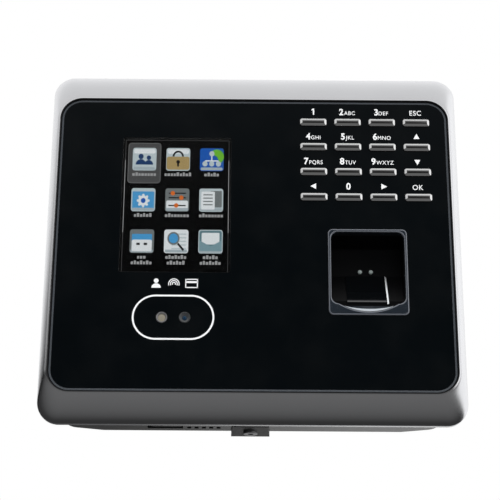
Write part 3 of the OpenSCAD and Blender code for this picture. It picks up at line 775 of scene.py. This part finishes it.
class TERMINAL_OT_print(PieceOperator, bpy.types.Operator):
    """White print: key legends, arrows, the outline round the lenses and three plain signs"""
    bl_idname = "terminal.print"
    bl_label = "Printed signs"

    def build(self, context):
        """Letters stand on a common line, small after large, and each legend is centred on its key."""
        ink, face = sizes().ink, Box("front_panel").front
        parts = []
        for node, legend in KEY_LEGENDS.items():
            key = Box(node)
            middle = key.y + sizes().legend_rise
            if isinstance(legend, tuple):
                parts += self.legend(legend, key.x, middle, face + ink / 2)
            else:
                parts.append(prism_parts(self.arrow(legend, key.x, middle - 0.1 * MM), face, face + ink))
        parts += [prism_parts(shape, face, face + ink) for shape in self.signs()]
        points, faces = joined(parts)
        stands_for(new_piece("print_legends", to_row(points), faces, white_ink()), "panel_acrylic")
        self.outline(face, ink)

    def arrow(self, way, x, y):
        """Three corners round a middle, with the point the way the arrow looks."""
        turn = np.radians(way + np.array([0, 125, 235]))
        reach = np.array([1.45, 1.5, 1.5]) * MM
        return np.stack([x + reach * np.cos(turn), y + reach * np.sin(turn)], axis=-1)

    def legend(self, legend, x, y, depth):
        big, small, alone, gap = sizes().digit_height, sizes().letter_height, 2.25 * MM, 0.25 * MM
        width, made = 0.0, []
        for words, height, swell in zip(legend, (big, small if legend[0] else alone), (0.03, 0.01)):
            if not words:
                continue
            if words == "1":
                points, faces = digit_one(height, sizes().ink)
            else:
                points, faces = lettering(words, height, sizes().ink, swell)
            points[:, 0] += width
            width = points[:, 0].max() + gap
            made.append((points, faces))
        shift = np.array([x - width / 2, y - big / 2, depth])
        return [(points + shift, faces) for points, faces in made]

    def signs(self):
        """Three plain signs in a row: a person, a fingertip of nested arcs and a card."""
        lens, window, step = Box("lamp_lens"), Box("display_window"), 7 * MM
        x, y = window.x, (window.low + lens.y + sizes().outline_height / 2) / 2
        shapes = [disc_outline(x - step, y + 1.05 * MM, 0.95 * MM, 28),
                  arc_band(x - step, y - 1.9 * MM, 0.02 * MM, 1.85 * MM, 0, 180)]
        for ring in range(3):
            radius, start = (0.45 + 0.72 * ring) * MM, -35 + 8 * ring
            shapes.append(arc_band(x, y - 0.2 * MM, radius, radius + 0.36 * MM, start, 180 - start))
        card, wide, tall, line = x + step, 4.6 * MM, 3.4 * MM, 0.4 * MM
        shapes += [block_outline(card, y + side * tall / 2, wide, line) for side in (1, -1)]
        shapes += [block_outline(card + side * wide / 2, y, line, tall + line) for side in (-1, 1)]
        return shapes + [block_outline(card, y + 0.55 * MM, wide, 2 * line)]

    def outline(self, face, ink):
        """A flat ring between two long ovals, one line width apart."""
        lamp, camera = Box("lamp_lens"), Box("camera_lens")
        x, y = (lamp.x + camera.x) / 2, lamp.y
        half_w, half_h = sizes().outline_width / 2, sizes().outline_height / 2
        oval = np.array([x, x, y, y, 0]) + GROW * [half_w, half_w, half_h, half_h, half_h]
        ring = flat_ring("print_outline", oval, sizes().outline_line, face, face + ink, white_ink())
        stands_for(ring, "panel_acrylic")


class TERMINAL_OT_keys(PieceOperator, bpy.types.Operator):
    """Sixteen bright metal keys with sloped edges, each on its own sliding body"""
    bl_idname = "terminal.keys"
    bl_label = "Keys"

    def build(self, context):
        """Rings climb from the flange, up the shank, and in over a slope to a slightly crowned face."""
        bevel, drop = sizes().key_bevel, sizes().key_drop
        flange, corner, least = 0.8 * MM, 0.9 * MM, 0.25 * MM
        shoulder, bulge, crown = 0.12 * MM, 0.16 * MM, 0.25 * MM
        for node in KEY_LEGENDS:
            key = Box(node)
            step, slope = key.back + flange, key.front - drop
            core = (key.edges() - GROW * flange)[:4]
            profile = [(flange, key.back), (flange, step), (0, step), (0, slope - shoulder)]
            profile += [(-bulge * t ** 2, slope - shoulder * (1 - t)) for t in np.linspace(0, 1, 5)]
            profile += [(-bevel * share, key.front - drop * fall)
                        for share, fall in ((0.8, 0.16), (0.93, 0.07), (1, 0.05))]
            profile.append((-bevel - crown, key.front))
            rings = [at_depth(rounded_outline(*(core + GROW[:4] * grow), max(corner + grow, least), 8, 4),
                              depth) for grow, depth in profile]
            stands_for(loft(node + "_bar", rings, key_metal(), sharp=60), "key_metal", node, body=node)


# ---------------------------------------------------------------- the picture on the screen
# A picture is a list of plates: colour, layer and outline, in millimetres about the tile's middle.

TILE = (10.6, 9.8)


def tile(colour):
    return [(colour, 1, block_outline(0, 0, *TILE, 1.1))]


def bright_tile():
    return tile("silver") + [("white", 2, block_outline(0, 3.4, 9.6, 1.9, 0.8))]


def person(x, y, size, colour):
    bust = arc_band(x, y - 2.6 * size, 0.01, 2.3 * size, 0, 180)
    return [(colour, 3, disc_outline(x, y + 0.9 * size, 1.15 * size)), (colour, 3, bust)]


def picture_people():
    return bright_tile() + person(-1.6, 0.2, 1.0, "navy") + person(1.9, -0.2, 0.85, "navy")


def picture_lock():
    return bright_tile() + [
        ("black", 3, arc_band(0, 1.2, 1.7, 2.5, 0, 180)), ("gold", 4, block_outline(0, -1.7, 10.2, 5.6, 0.9)),
        ("black", 5, disc_outline(0, -1.2, 0.8)), ("black", 5, block_outline(0, -2.3, 0.8, 1.7))]


def picture_network():
    links = [block_outline(0, 0.2, 0.5, 4.4), block_outline(0, -0.6, 6.0, 0.5)]
    spots = [disc_outline(x, y, 1.15) for x, y in ((0, 2.5), (-3.0, -1.9), (3.0, -1.9), (0, -1.9))]
    land = [("green", 2, arc_band(2.2, 1.2, 0.01, 3.2, -60, 150))]
    made = tile("blue") + land + [("white", 3, link) for link in links]
    return made + [("silver", 4, spot) for spot in spots]


def picture_gear():
    return tile("silver") + [
        ("sky", 2, block_outline(0, -0.3, 9.6, 7.6, 0.5)),
        ("white", 3, gear_outline(0, -0.4, 2.5, 0.35, sizes().gear_teeth)),
        ("blue", 4, disc_outline(0, -0.4, 1.05))]


def picture_sliders():
    made = tile("grey") + [("white", 2, block_outline(0, -2.4, 9.6, 4.2, 0.6))]
    for level, place in ((2.8, -2.0), (0.9, 1.8), (-2.4, -0.4)):
        made += [("black", 3, block_outline(0, level, 7.6, 0.5)),
                 ("orange", 4, disc_outline(place, level, 0.95))]
    return made


def picture_sheets():
    made = tile("silver") + [("grey", 2, block_outline(2.2, 0.4, 5.0, 7.0, 0.4)),
                             ("white", 3, block_outline(-1.4, -0.2, 6.0, 7.6, 0.5))]
    return made + [("grey", 4, block_outline(-1.4, 2.2 - 1.4 * line, 4.2, 0.45)) for line in range(4)]


def picture_stick():
    contacts = [("black", 4, block_outline(x, -1.2, 1.5, 0.9)) for x in (-1.6, 1.6)]
    return tile("grey") + [("sky", 2, block_outline(0, 1.2, 8.8, 3.6, 0.5)),
                           ("white", 3, block_outline(0, -1.8, 8.8, 4.8, 0.7))] + contacts


def picture_search():
    handle = np.array([[0.4, -1.2], [2.9, -4.0], [3.6, -3.4], [1.0, -0.6]])
    lines = [("silver", 2, block_outline(1.2, 3.0 - 1.5 * line, 6.4, 0.5)) for line in range(5)]
    return tile("white") + lines + [
        ("grey", 3, disc_outline(-1.2, 1.2, 2.7)), ("sky", 4, disc_outline(-1.2, 1.2, 2.0)),
        ("black", 4, handle)]


def picture_letter():
    flap = np.array([[-4.8, -4.0], [4.8, -4.0], [4.8, 0.4], [0.0, -2.0], [-4.8, 0.4]])
    return tile("silver") + [("teal", 2, block_outline(0, 0, 9.8, 9.0, 0.9)),
                             ("white", 3, block_outline(0, 1.2, 7.8, 4.8, 0.4)), ("steel", 4, flap)]


# Each picture comes with the number of letters in each line of its label.
PICTURES = (
    (picture_people, (8,)), (picture_lock, (9,)), (picture_network, (5,)),
    (picture_gear, (6,)), (picture_sliders, (8,)), (picture_sheets, (8,)),
    (picture_stick, (3, 7)), (picture_search, (7, 6)), (picture_letter, (5, 7)))

PICTURE_COLOURS = {
    "black": (0.002, 0.002, 0.003), "silver": (0.52, 0.6, 0.62), "white": (0.82, 0.85, 0.86),
    "navy": (0.01, 0.045, 0.14), "gold": (0.42, 0.3, 0.12), "blue": (0.01, 0.1, 0.45),
    "sky": (0.07, 0.34, 0.66), "green": (0.16, 0.5, 0.03), "grey": (0.17, 0.19, 0.19),
    "orange": (0.75, 0.16, 0.02), "teal": (0.12, 0.22, 0.25), "steel": (0.2, 0.33, 0.37),
    "label": (0.36, 0.36, 0.36), "base": (0.4, 0.47, 0.5), "line": (0.05, 0.05, 0.05),
    "chosen": (0.07, 0.07, 0.07), "chosen_rim": (0.16, 0.16, 0.16),
}


def greeked(letters, x, y):
    """A line of a label as a row of small blocks, one for each letter, centred on x."""
    steps, least, gap = np.arange(letters), 1.15, 0.28
    widths = 0.75 + 0.3 * np.abs(np.sin(2.1 * steps + letters))
    starts = np.concatenate([[0], np.cumsum(widths + gap)[:-1]])
    total = starts[-1] + widths[-1]
    tall = least + 0.45 * (np.cos(3.3 * steps + 0.5 * letters) > 0.3)
    return [block_outline(x - total / 2 + s + w / 2, y + (t - least) / 2, w, t, 0.18)
            for s, w, t in zip(starts, widths, tall)]


class TERMINAL_OT_screen(PieceOperator, bpy.types.Operator):
    """Colour screen with a plain menu of nine small pictures"""
    bl_idname = "terminal.screen"
    bl_label = "Screen"

    MIDDLE = np.array([0.4, 2.35])      # middle tile from the window's middle, in mm
    LIT = (42.3, 57.6)                  # lit area, in mm

    def build(self, context):
        """Plates of one colour are one piece; a plate's layer sets how far it stands off the glass."""
        window, glass = Box("display_window"), Box("display_module")
        layer_step, origin = 0.05 * MM, np.array([window.x, window.y])
        for (colour, layer), outlines in sorted(self.drawn().items(), key=lambda item: str(item[0])):
            material = glowing("picture_" + colour, PICTURE_COLOURS[colour], 0.9)
            back = glass.front + layer * layer_step
            name = f"picture_{colour}_{str(layer).replace('.', '_')}"
            piece = plates(name, [o * MM + origin for o in outlines], back, back + layer_step, material)
            stands_for(piece, "display_glass")
        dark = finish("display_glass", (0.0015, 0.0015, 0.002), 0.2, scale=500, bump=0.005)
        coat_node("display_module", dark)

    def drawn(self):
        """Every plate of the menu, by colour and layer, in millimetres about the window's middle."""
        drawn = {}
        fit = np.array([sizes().tile, sizes().tile_height]) / (np.array(TILE) * MM)
        pitch = np.array([sizes().tile_pitch_x, -sizes().tile_pitch_y]) / MM
        base = [("base", 2.5, block_outline(0, -4.05, 9.7, 1.2, 0.5))]
        for index, (picture, label) in enumerate(PICTURES):
            place = self.MIDDLE + pitch * [index % 3 - 1, index // 3 - 1]
            for colour, layer, outline in picture() + base:
                drawn.setdefault((colour, layer), []).append(outline * fit + place)
            for line, letters in enumerate(label):
                level = place[1] - 6.9 - 2.4 * line
                drawn.setdefault(("label", 2), []).extend(greeked(letters, place[0], level))
        left, top = self.MIDDLE - pitch
        drawn[("chosen_rim", 0)] = [block_outline(left, top - 1.7, 13.4, 17.9, 1.4)]
        drawn[("chosen", 0.5)] = [block_outline(left, top - 1.7, 12.9, 17.4, 1.1)]
        (wide, tall), line, sides = self.LIT, 0.25, (-1, 1)
        drawn[("line", 0)] = [block_outline(0, side * tall / 2, wide, line) for side in sides]
        drawn[("line", 0.5)] = [block_outline(side * wide / 2, 0, line, tall) for side in sides]
        # Painted highlight: two grey glowing lines along the lit area's sides stand for the glint on the
        # edges of the screen's metal frame.
        drawn[("label", 1)] = [block_outline(side * wide / 2, 4, line, 0.55 * tall) for side in sides]
        return drawn


class TERMINAL_OT_finger(PieceOperator, bpy.types.Operator):
    """Finger reader: glossy guide with a scooped lip, the dark well, the glass platen and two lamps"""
    bl_idname = "terminal.finger"
    bl_label = "Finger reader"

    CORNER_STEPS, EDGE_STEPS = 16, 40

    def build(self, context):
        guide = Box("finger_guide")
        # Painted highlight: the guide's rounded edges are coloured lighter grey for the light they catch.
        edging = finish("guide_edge", (0.12, 0.13, 0.15), 0.22, scale=900, bump=0.03,
                        even={"Coat Weight": 0.5})
        piece = loft("finger_guide_rim", self.rings(guide), guide_plastic(), closed=True, sharp=55,
                     edging=edging, edge_rows=(1, 2, 3, 5, 6, 7))
        stands_for(piece, "guide_plastic", "finger_guide")
        self.lip(guide)
        coat_node("finger_housing", well_plastic())
        self.platen()
        self.lamps()

    def platen(self):
        """Black glass whose right and lower edges are broken wide and coloured bright, a painted highlight
        for the light those edges catch.
        """
        box, near = Box("finger_platen"), 1.2 * MM

        def weight(spots):
            right = spots[:, 0] > box.right - near
            under = (spots[:, 1] < box.low + near) & (spots[:, 0] > box.left + near)
            return np.where(right, 0.7, np.where(under, 1.0, 0.0))

        glass = finish("platen_glass", (0.002, 0.0025, 0.003), 0.05, spread=0.02, scale=300, bump=0.004,
                       even={"IOR": 1.55, "Coat Weight": 1.0})
        platen = softened("finger_platen", glass, 1.15 * MM, 3, weight=weight)
        # Painted highlight on the right and lower bevels.
        platen.data.materials.append(finish("platen_edge", (0.9, 0.93, 0.96), 0.2, scale=900, bump=0.02))
        platen.modifiers["rounding"].material = 1
        stands_for(platen, "platen_glass", "finger_platen")

    def ring(self, edges, depth):
        return at_depth(rounded_outline(*edges, self.CORNER_STEPS, self.EDGE_STEPS), depth)

    def rings(self, guide):
        """The outer rings are rounded rectangles. The inner rings have wider upper corners, and
        their lower side dips along a circle, so that a fingertip lies in a scoop.
        """
        flange, rim, lower_lip, corner, hole_corner = 1.4 * MM, 1.2 * MM, 4.7 * MM, 2 * MM, 3 * MM
        face = guide.front
        back, step = face - 3.5 * MM, face - 2.6 * MM
        foot = guide.edges(corner)
        out = guide.edges(corner + flange) - GROW * flange
        rings = [self.ring(out - GROW * inset * MM, face - fall * MM)
                 for inset, fall in ((0, 2.6), (0, 0.5), (0.08, 0.22), (0.26, 0.06), (0.52, 0))]
        hole = out - GROW * [rim, rim, lower_lip, rim, 0]
        hole[4] = hole_corner
        mouth = ((0.42, 0.0), (0.2, 0.04), (0.06, 0.2), (0.0, 0.45), (0.0, 2.6), (0.0, 3.45))
        rings += [self.opening(hole, spread * MM, face - fall * MM, guide.x) for spread, fall in mouth]
        return rings + [self.ring(hole, back), self.ring(foot, back), self.ring(foot, step)]

    def opening(self, hole, spread, depth, x):
        """Rounded opening whose lower side is lowered to the scoop's circle, more so on the upper rings."""
        low, radius = hole[2], sizes().guide_scoop
        outline = rounded_outline(*(hole[:4] + GROW[:4] * spread), hole[4],
                                  self.CORNER_STEPS, self.EDGE_STEPS)
        across = np.clip(outline[:, 0] - x, -0.7 * radius, 0.7 * radius)
        lowest = low - 3.2 * MM - 1.6 * spread
        scoop = lowest + radius - np.sqrt(radius ** 2 - across ** 2)
        under = outline[:, 1] < low + 1.5 * MM
        outline[:, 1] = np.where(under, np.minimum(outline[:, 1], scoop), outline[:, 1])
        return at_depth(outline, depth)

    def lip(self, guide):
        """Crescent on the scoop's edge: an arc of the scoop's circle, and back along a flatter one."""
        radius, reach, thick = sizes().guide_scoop, 9.6 * MM, 0.95 * MM
        low, sweep = guide.low + 2.9 * MM, np.linspace(-1, 1, 41)
        turn = sweep * math.asin(reach / radius)
        deep = np.stack([guide.x + radius * np.sin(turn), low + radius * (1 - np.cos(turn))], axis=-1)
        flat = deep[::-1].copy()
        flat[:, 1] += thick * np.cos(sweep * math.pi / 2)
        # Painted highlight: the crescent is pale grey for the light the curved edge of the scoop catches.
        bright = finish("guide_lip", (0.5, 0.54, 0.58), 0.2, scale=900, bump=0.03, even={"Coat Weight": 0.5})
        piece = plates("finger_scoop_glint", [np.concatenate([deep, flat[1:-1]])],
                       guide.front - 1.2 * MM, guide.front, bright)
        stands_for(piece, "guide_plastic")

    def lamps(self):
        """Small domes: the radius shrinks as the cosine and the height grows as the sine."""
        lamps = Box("finger_lamps")
        radius = lamps.height / 2
        rise = radius * 0.7
        dome = [(radius, lamps.back)] + [
            (radius * math.cos(t), lamps.front - rise + rise * math.sin(t))
            for t in np.linspace(0, math.pi / 2 * 0.97, 8)]
        points, faces = joined([lathe_parts(dome, x, lamps.y, 24)
                                for x in (lamps.left + radius, lamps.right - radius)])
        # The domes are the real lamps; their pale grey colour is also a painted highlight, for the two glints
        # on them.
        material = finish("lamp_epoxy", (0.26, 0.3, 0.29), 0.12, bump=0.01, even={"Coat Weight": 1.0})
        domes = new_piece("finger_lamp_domes", to_row(points), faces, material)
        stands_for(domes, "lamp_epoxy", "finger_lamps")


class TERMINAL_OT_eyes(PieceOperator, bpy.types.Operator):
    """The white lamp in its grey cup and the camera in its stepped barrel"""
    bl_idname = "terminal.eyes"
    bl_label = "Lamp and camera"

    RIM = 2.4       # outermost radius of the profiles below, which the eye radius scales

    def build(self, context):
        cup = finish("lamp_cup", (0.28, 0.28, 0.29), 0.3, scale=1500, bump=0.05, even={"Metallic": 0.6})
        self.turned("lamp_cup", "lamp_lens", cup, [
            (2.4, -2), (2.4, -0.12), (2.3, -0.02), (2.1, 0.0), (1.95, -0.08), (1.55, -0.9),
            (1.5, -1.0)], "lamp_lens")
        die = glowing("lamp_die", (0.46, 0.42, 0.32), 0.55)
        self.turned("lamp_dome", "lamp_lens", die, [
            (1.5, -1.3), (1.5, -0.95), (1.42, -0.7), (1.15, -0.5), (0.7, -0.38), (0.2, -0.35)])
        barrel = finish("camera_barrel", (0.14, 0.145, 0.15), 0.3, scale=1400, bump=0.05,
                        worn=(0.25, 0.25, 0.25), even={"Metallic": 0.7})
        self.turned("camera_barrel", "camera_lens", barrel, [
            (2.4, -2), (2.4, -0.12), (2.3, -0.02), (2.12, 0.0), (1.98, -0.1), (1.8, -0.5), (1.5, -0.55),
            (1.42, -0.62), (1.3, -1.0), (1.05, -1.05), (0.95, -1.1)], "camera_lens")
        glass = finish("camera_glass", (0.004, 0.03, 0.055), 0.05, bump=0.002,
                       even={"Coat Weight": 1.0, "Coat IOR": 1.7, "Coat Tint": (0.45, 0.75, 1.0, 1.0)})
        self.turned("camera_dome", "camera_lens", glass, [
            (1.0, -1.4), (1.0, -1.0), (0.93, -0.86), (0.75, -0.74), (0.5, -0.67), (0.15, -0.64)])

    def turned(self, name, slot, material, profile, *replaced):
        """A turned shape in its lens's place, whose profile falls in millimetres from the lens's face."""
        lens = Box(slot)
        fit = sizes().eye_radius / self.RIM
        drawn = [(radius * fit, lens.front + depth * MM) for radius, depth in profile]
        points, faces = lathe_parts(drawn, lens.x, lens.y, 48)
        stands_for(new_piece(name, to_row(points), faces, material), slot, *replaced)


class TERMINAL_OT_case(PieceOperator, bpy.types.Operator):
    """Rear case, its seal, the screws and the wall plate it hangs on"""
    bl_idname = "terminal.case"
    bl_label = "Rear case and wall plate"

    def build(self, context):
        case = softened("rear_case", case_plastic(), sizes().case_rounding, 3)
        stands_for(case, "case_plastic", "rear_case")
        plate = softened("wall_plate", plate_coat(), sizes().plate_rounding, 2)
        stands_for(plate, "plate_paint", "wall_plate")
        for node in ("case_screws", "lock_screw", "board_screws", "wiring_screws"):
            screw = softened(node, plated_steel(), 0.12 * MM, 2)
            stands_for(screw, "screw_steel", node)
        coat_node("case_seal", finish("seal_rubber", (0.012, 0.012, 0.012), 0.7, scale=2500, bump=0.2))


class TERMINAL_OT_sockets(PieceOperator, bpy.types.Operator):
    """Sockets in the cable bay and in the lower wall, with their contacts"""
    bl_idname = "terminal.sockets"
    bl_label = "Sockets"

    def build(self, context):
        for node in ("lan_socket", "usb_socket", "processor_shield"):
            piece = softened(node, tinned_steel(), 0.2 * MM, 2)
            stands_for(piece, "tin_steel", node)
        jack = softened("power_jack", black_nylon(), 0.25 * MM, 2)
        stands_for(jack, "connector_plastic", "power_jack")
        green = finish("block_nylon", (0.02, 0.2, 0.06), 0.42, scale=1800, bump=0.12, dust=0.1)
        block = softened("wiring_block", green, 0.2 * MM, 2)
        stands_for(block, "block_plastic", "wiring_block")
        self.contacts()

    def contacts(self):
        """Eight gold strips side by side in the mouth of the network socket."""
        mouth, count, pitch = Box("lan_socket"), 8, 1.02 * MM
        wide, long, thick, depth = 0.45 * MM, 12 * MM, 0.4 * MM, 9 * MM
        gold = finish("contact_gold", (0.72, 0.5, 0.16), 0.22, scale=1600, bump=0.03, even={"Metallic": 1.0})
        places = mouth.x + (np.arange(count) - (count - 1) / 2) * pitch
        strips = [block_outline(x, mouth.low + 8 * MM, wide, long) for x in places]
        front = mouth.back + depth
        stands_for(plates("network_contacts", strips, front - thick, front, gold), "tin_steel")


class TERMINAL_OT_inside(PieceOperator, bpy.types.Operator):
    """Boards, ribbons, switches and the other pieces inside the case"""
    bl_idname = "terminal.inside"
    bl_label = "Inside pieces"

    def build(self, context):
        for node in ("main_board", "keypad_board", "finger_board", "camera_board"):
            coat_node(node, board_mask())
        for node in ("inner_chassis", "finger_imager", "speaker", "tamper_switch", "reset_switch"):
            coat_node(node, black_nylon())
        film = finish("ribbon_film", (0.5, 0.27, 0.05), 0.3, scale=600, bump=0.05)
        for node in ("display_ribbon", "keypad_ribbon"):
            coat_node(node, film)
        coat_node("keypad_mat", finish("silicone", (0.3, 0.3, 0.29), 0.65, scale=1800, bump=0.15))
        coat_node("finger_prism", clear("prism_glass", (0.85, 0.95, 0.95), ior=1.6))
        coat_node("board_sockets", finish("socket_nylon", (0.7, 0.68, 0.6), 0.4, scale=1500, bump=0.1))
        coat_node("backup_battery", finish("battery_film", (0.02, 0.07, 0.28), 0.25, scale=700, bump=0.06))
        white = finish("plunger_nylon", (0.7, 0.7, 0.67), 0.4, scale=1500, bump=0.1)
        red = finish("button_nylon", (0.45, 0.02, 0.02), 0.38, scale=1500, bump=0.1)
        for node, material, slot in (("tamper_plunger", white, "plunger_nylon"),
                                     ("reset_button", red, "reset_red")):
            stands_for(softened(node, material, 0.25 * MM, 3), slot, node, body=node)


# ---------------------------------------------------------------- stage

class TERMINAL_OT_stage(PieceOperator, bpy.types.Operator):
    """Pale floor, soft studio light and the camera"""
    bl_idname = "terminal.stage"
    bl_label = "Stage"

    # Soft boxes: name, place, width and power. Each one looks at the terminal.
    LIGHTS = (("soft_top", (0.1, -0.25, 0.95), 0.9, 3.0), ("soft_right", (0.9, -0.5, 0.35), 0.5, 1.5),
              ("soft_front", (0.1, -1.0, 0.02), 0.8, 7.6))

    def build(self, context):
        self.floor()
        self.sky(context.scene)
        self.lights(context.scene)
        self.camera(context.scene)

    def floor(self):
        """A round pale floor well below the hanging terminal."""
        drop, radius, steps = 0.26, 3.0, 96
        rows = at_depth(disc_outline(0, 0, radius, steps), Box("front_frame").low - drop)
        pale = finish("floor_pale", (0.86, 0.86, 0.85), 0.7, scale=30, bump=0.02, shade=0.01)
        floor = new_piece("floor", rows, [list(range(steps))], pale)
        floor.visible_glossy = False
        floor.visible_diffuse = False

    def sky(self, scene):
        """Soft tent of light: bright above, behind and to the right, dark in front, low and to the left.

        A direction is bright when it lies above a slanted plane and isn't in front; what is in
        front and low, or behind and low on the right, gets a dimmer share of its own. The camera
        itself sees plain white all round.
        """
        world = bpy.data.worlds.new("studio")
        scene.world = world
        world.use_nodes = True
        tree = world.node_tree
        tree.nodes.clear()
        way = put(tree, "ShaderNodeTexCoord").outputs["Generated"]
        axes = put(tree, "ShaderNodeSeparateXYZ", {0: way}).outputs

        def soft(axis, *limits):
            return ramp(tree, axes[axis], *limits, kind="SMOOTHSTEP")

        slant = put(tree, "ShaderNodeVectorMath", {0: way, 1: (0.37, 0.0, 0.93)}, operation="DOT_PRODUCT")
        above = ramp(tree, slant.outputs["Value"], -0.1, 0.1, kind="SMOOTHSTEP")
        rising = math_node(tree, "MAXIMUM", soft("Y", -0.4, 0.3, 0.74, 0.98), soft("X", 0.3, 0.7, 0.0, 1.1))
        bright = product(tree, above, soft("Y", -0.95, -0.6), rising)
        front = product(tree, soft("Y", -1.0, 0.05, 0.14, 0.025), soft("Z", 0.12, -0.1))
        rear = product(tree, soft("X", -0.1, 0.12, 0.1, 0.7), soft("Y", 0.75, 0.9), soft("Z", 0.05, -0.1))
        low = math_node(tree, "MAXIMUM", front, rear)
        level = math_node(tree, "ADD", math_node(tree, "MAXIMUM", bright, low), 0.012)
        tent = put(tree, "ShaderNodeBackground", {"Color": level, "Strength": 1.0})
        plain = put(tree, "ShaderNodeBackground", {"Color": (1, 1, 1, 1), "Strength": 1.0})
        seen = put(tree, "ShaderNodeLightPath").outputs["Is Camera Ray"]
        blend = put(tree, "ShaderNodeMixShader", {0: seen, 1: tent.outputs[0], 2: plain.outputs[0]})
        put(tree, "ShaderNodeOutputWorld", {"Surface": blend.outputs[0]})
        scene.view_settings.view_transform = "Standard"

    def lights(self, scene):
        """Wide soft boxes that are left out of reflections and of what is seen through clear pieces."""
        for name, place, width, power in self.LIGHTS:
            data = bpy.data.lights.new(name, "AREA")
            data.shape = "RECTANGLE"
            data.size, data.size_y = width, width * 0.7
            data.energy = power
            lamp = bpy.data.objects.new(name, data)
            lamp.location = place
            lamp.rotation_euler = (-Vector(place)).to_track_quat("-Z", "Y").to_euler()
            lamp.visible_glossy = False
            lamp.visible_transmission = False
            scene.collection.objects.link(lamp)

    def camera(self, scene):
        """The camera looks up at the terminal from below its middle."""
        rise, side, roll = np.radians([20.5, 0.227, 0.34])
        target = Vector((-1.47 * MM, -Box("front_frame").front, -5.17 * MM))
        distance = 0.577
        forward = Vector((math.sin(side) * math.cos(rise), math.cos(side) * math.cos(rise), math.sin(rise)))
        level = forward.cross(Vector((0, 0, 1))).normalized()
        upright = level.cross(forward)
        right = level * math.cos(roll) + upright * math.sin(roll)
        up = upright * math.cos(roll) - level * math.sin(roll)
        data = bpy.data.cameras.new("camera")
        data.lens, data.sensor_width = 104.45, 36.0
        data.clip_start = 0.01
        camera = bpy.data.objects.new("camera", data)
        turn = Matrix((right, up, -forward)).transposed().to_4x4()
        camera.matrix_world = Matrix.Translation(target - forward * distance) @ turn
        scene.collection.objects.link(camera)
        scene.camera = camera


# ---------------------------------------------------------------- add-on

STEPS = (TERMINAL_OT_frame, TERMINAL_OT_panel, TERMINAL_OT_print, TERMINAL_OT_keys, TERMINAL_OT_screen,
         TERMINAL_OT_finger, TERMINAL_OT_eyes, TERMINAL_OT_case, TERMINAL_OT_sockets, TERMINAL_OT_inside,
         TERMINAL_OT_stage)


class TERMINAL_PT_panel(bpy.types.Panel):
    """Lists the sizes, the colours and the building steps"""
    bl_label = "Access terminal"
    bl_idname = "TERMINAL_PT_panel"
    bl_space_type = "VIEW_3D"
    bl_region_type = "UI"
    bl_category = PANEL_TAB

    def draw(self, context):
        layout = self.layout
        for group in (context.scene.terminal_sizes, context.scene.terminal_colours):
            column = layout.column(align=True)
            for key in group.bl_rna.properties.keys():
                if key not in ("rna_type", "name"):
                    column.prop(group, key)
        column = layout.column(align=True)
        for step in STEPS:
            column.operator(step.bl_idname)


CLASSES = (TerminalSizes, TerminalColours, *STEPS, TERMINAL_PT_panel)


def register():
    for item in CLASSES:
        bpy.utils.register_class(item)
    bpy.types.Scene.terminal_sizes = PointerProperty(type=TerminalSizes)
    bpy.types.Scene.terminal_colours = PointerProperty(type=TerminalColours)


def unregister():
    del bpy.types.Scene.terminal_colours
    del bpy.types.Scene.terminal_sizes
    for item in reversed(CLASSES):
        bpy.utils.unregister_class(item)


def main():
    register()
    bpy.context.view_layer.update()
    for step in STEPS:
        getattr(bpy.ops.terminal, step.bl_idname.split(".")[1])()


if __name__ == "__main__":
    main()
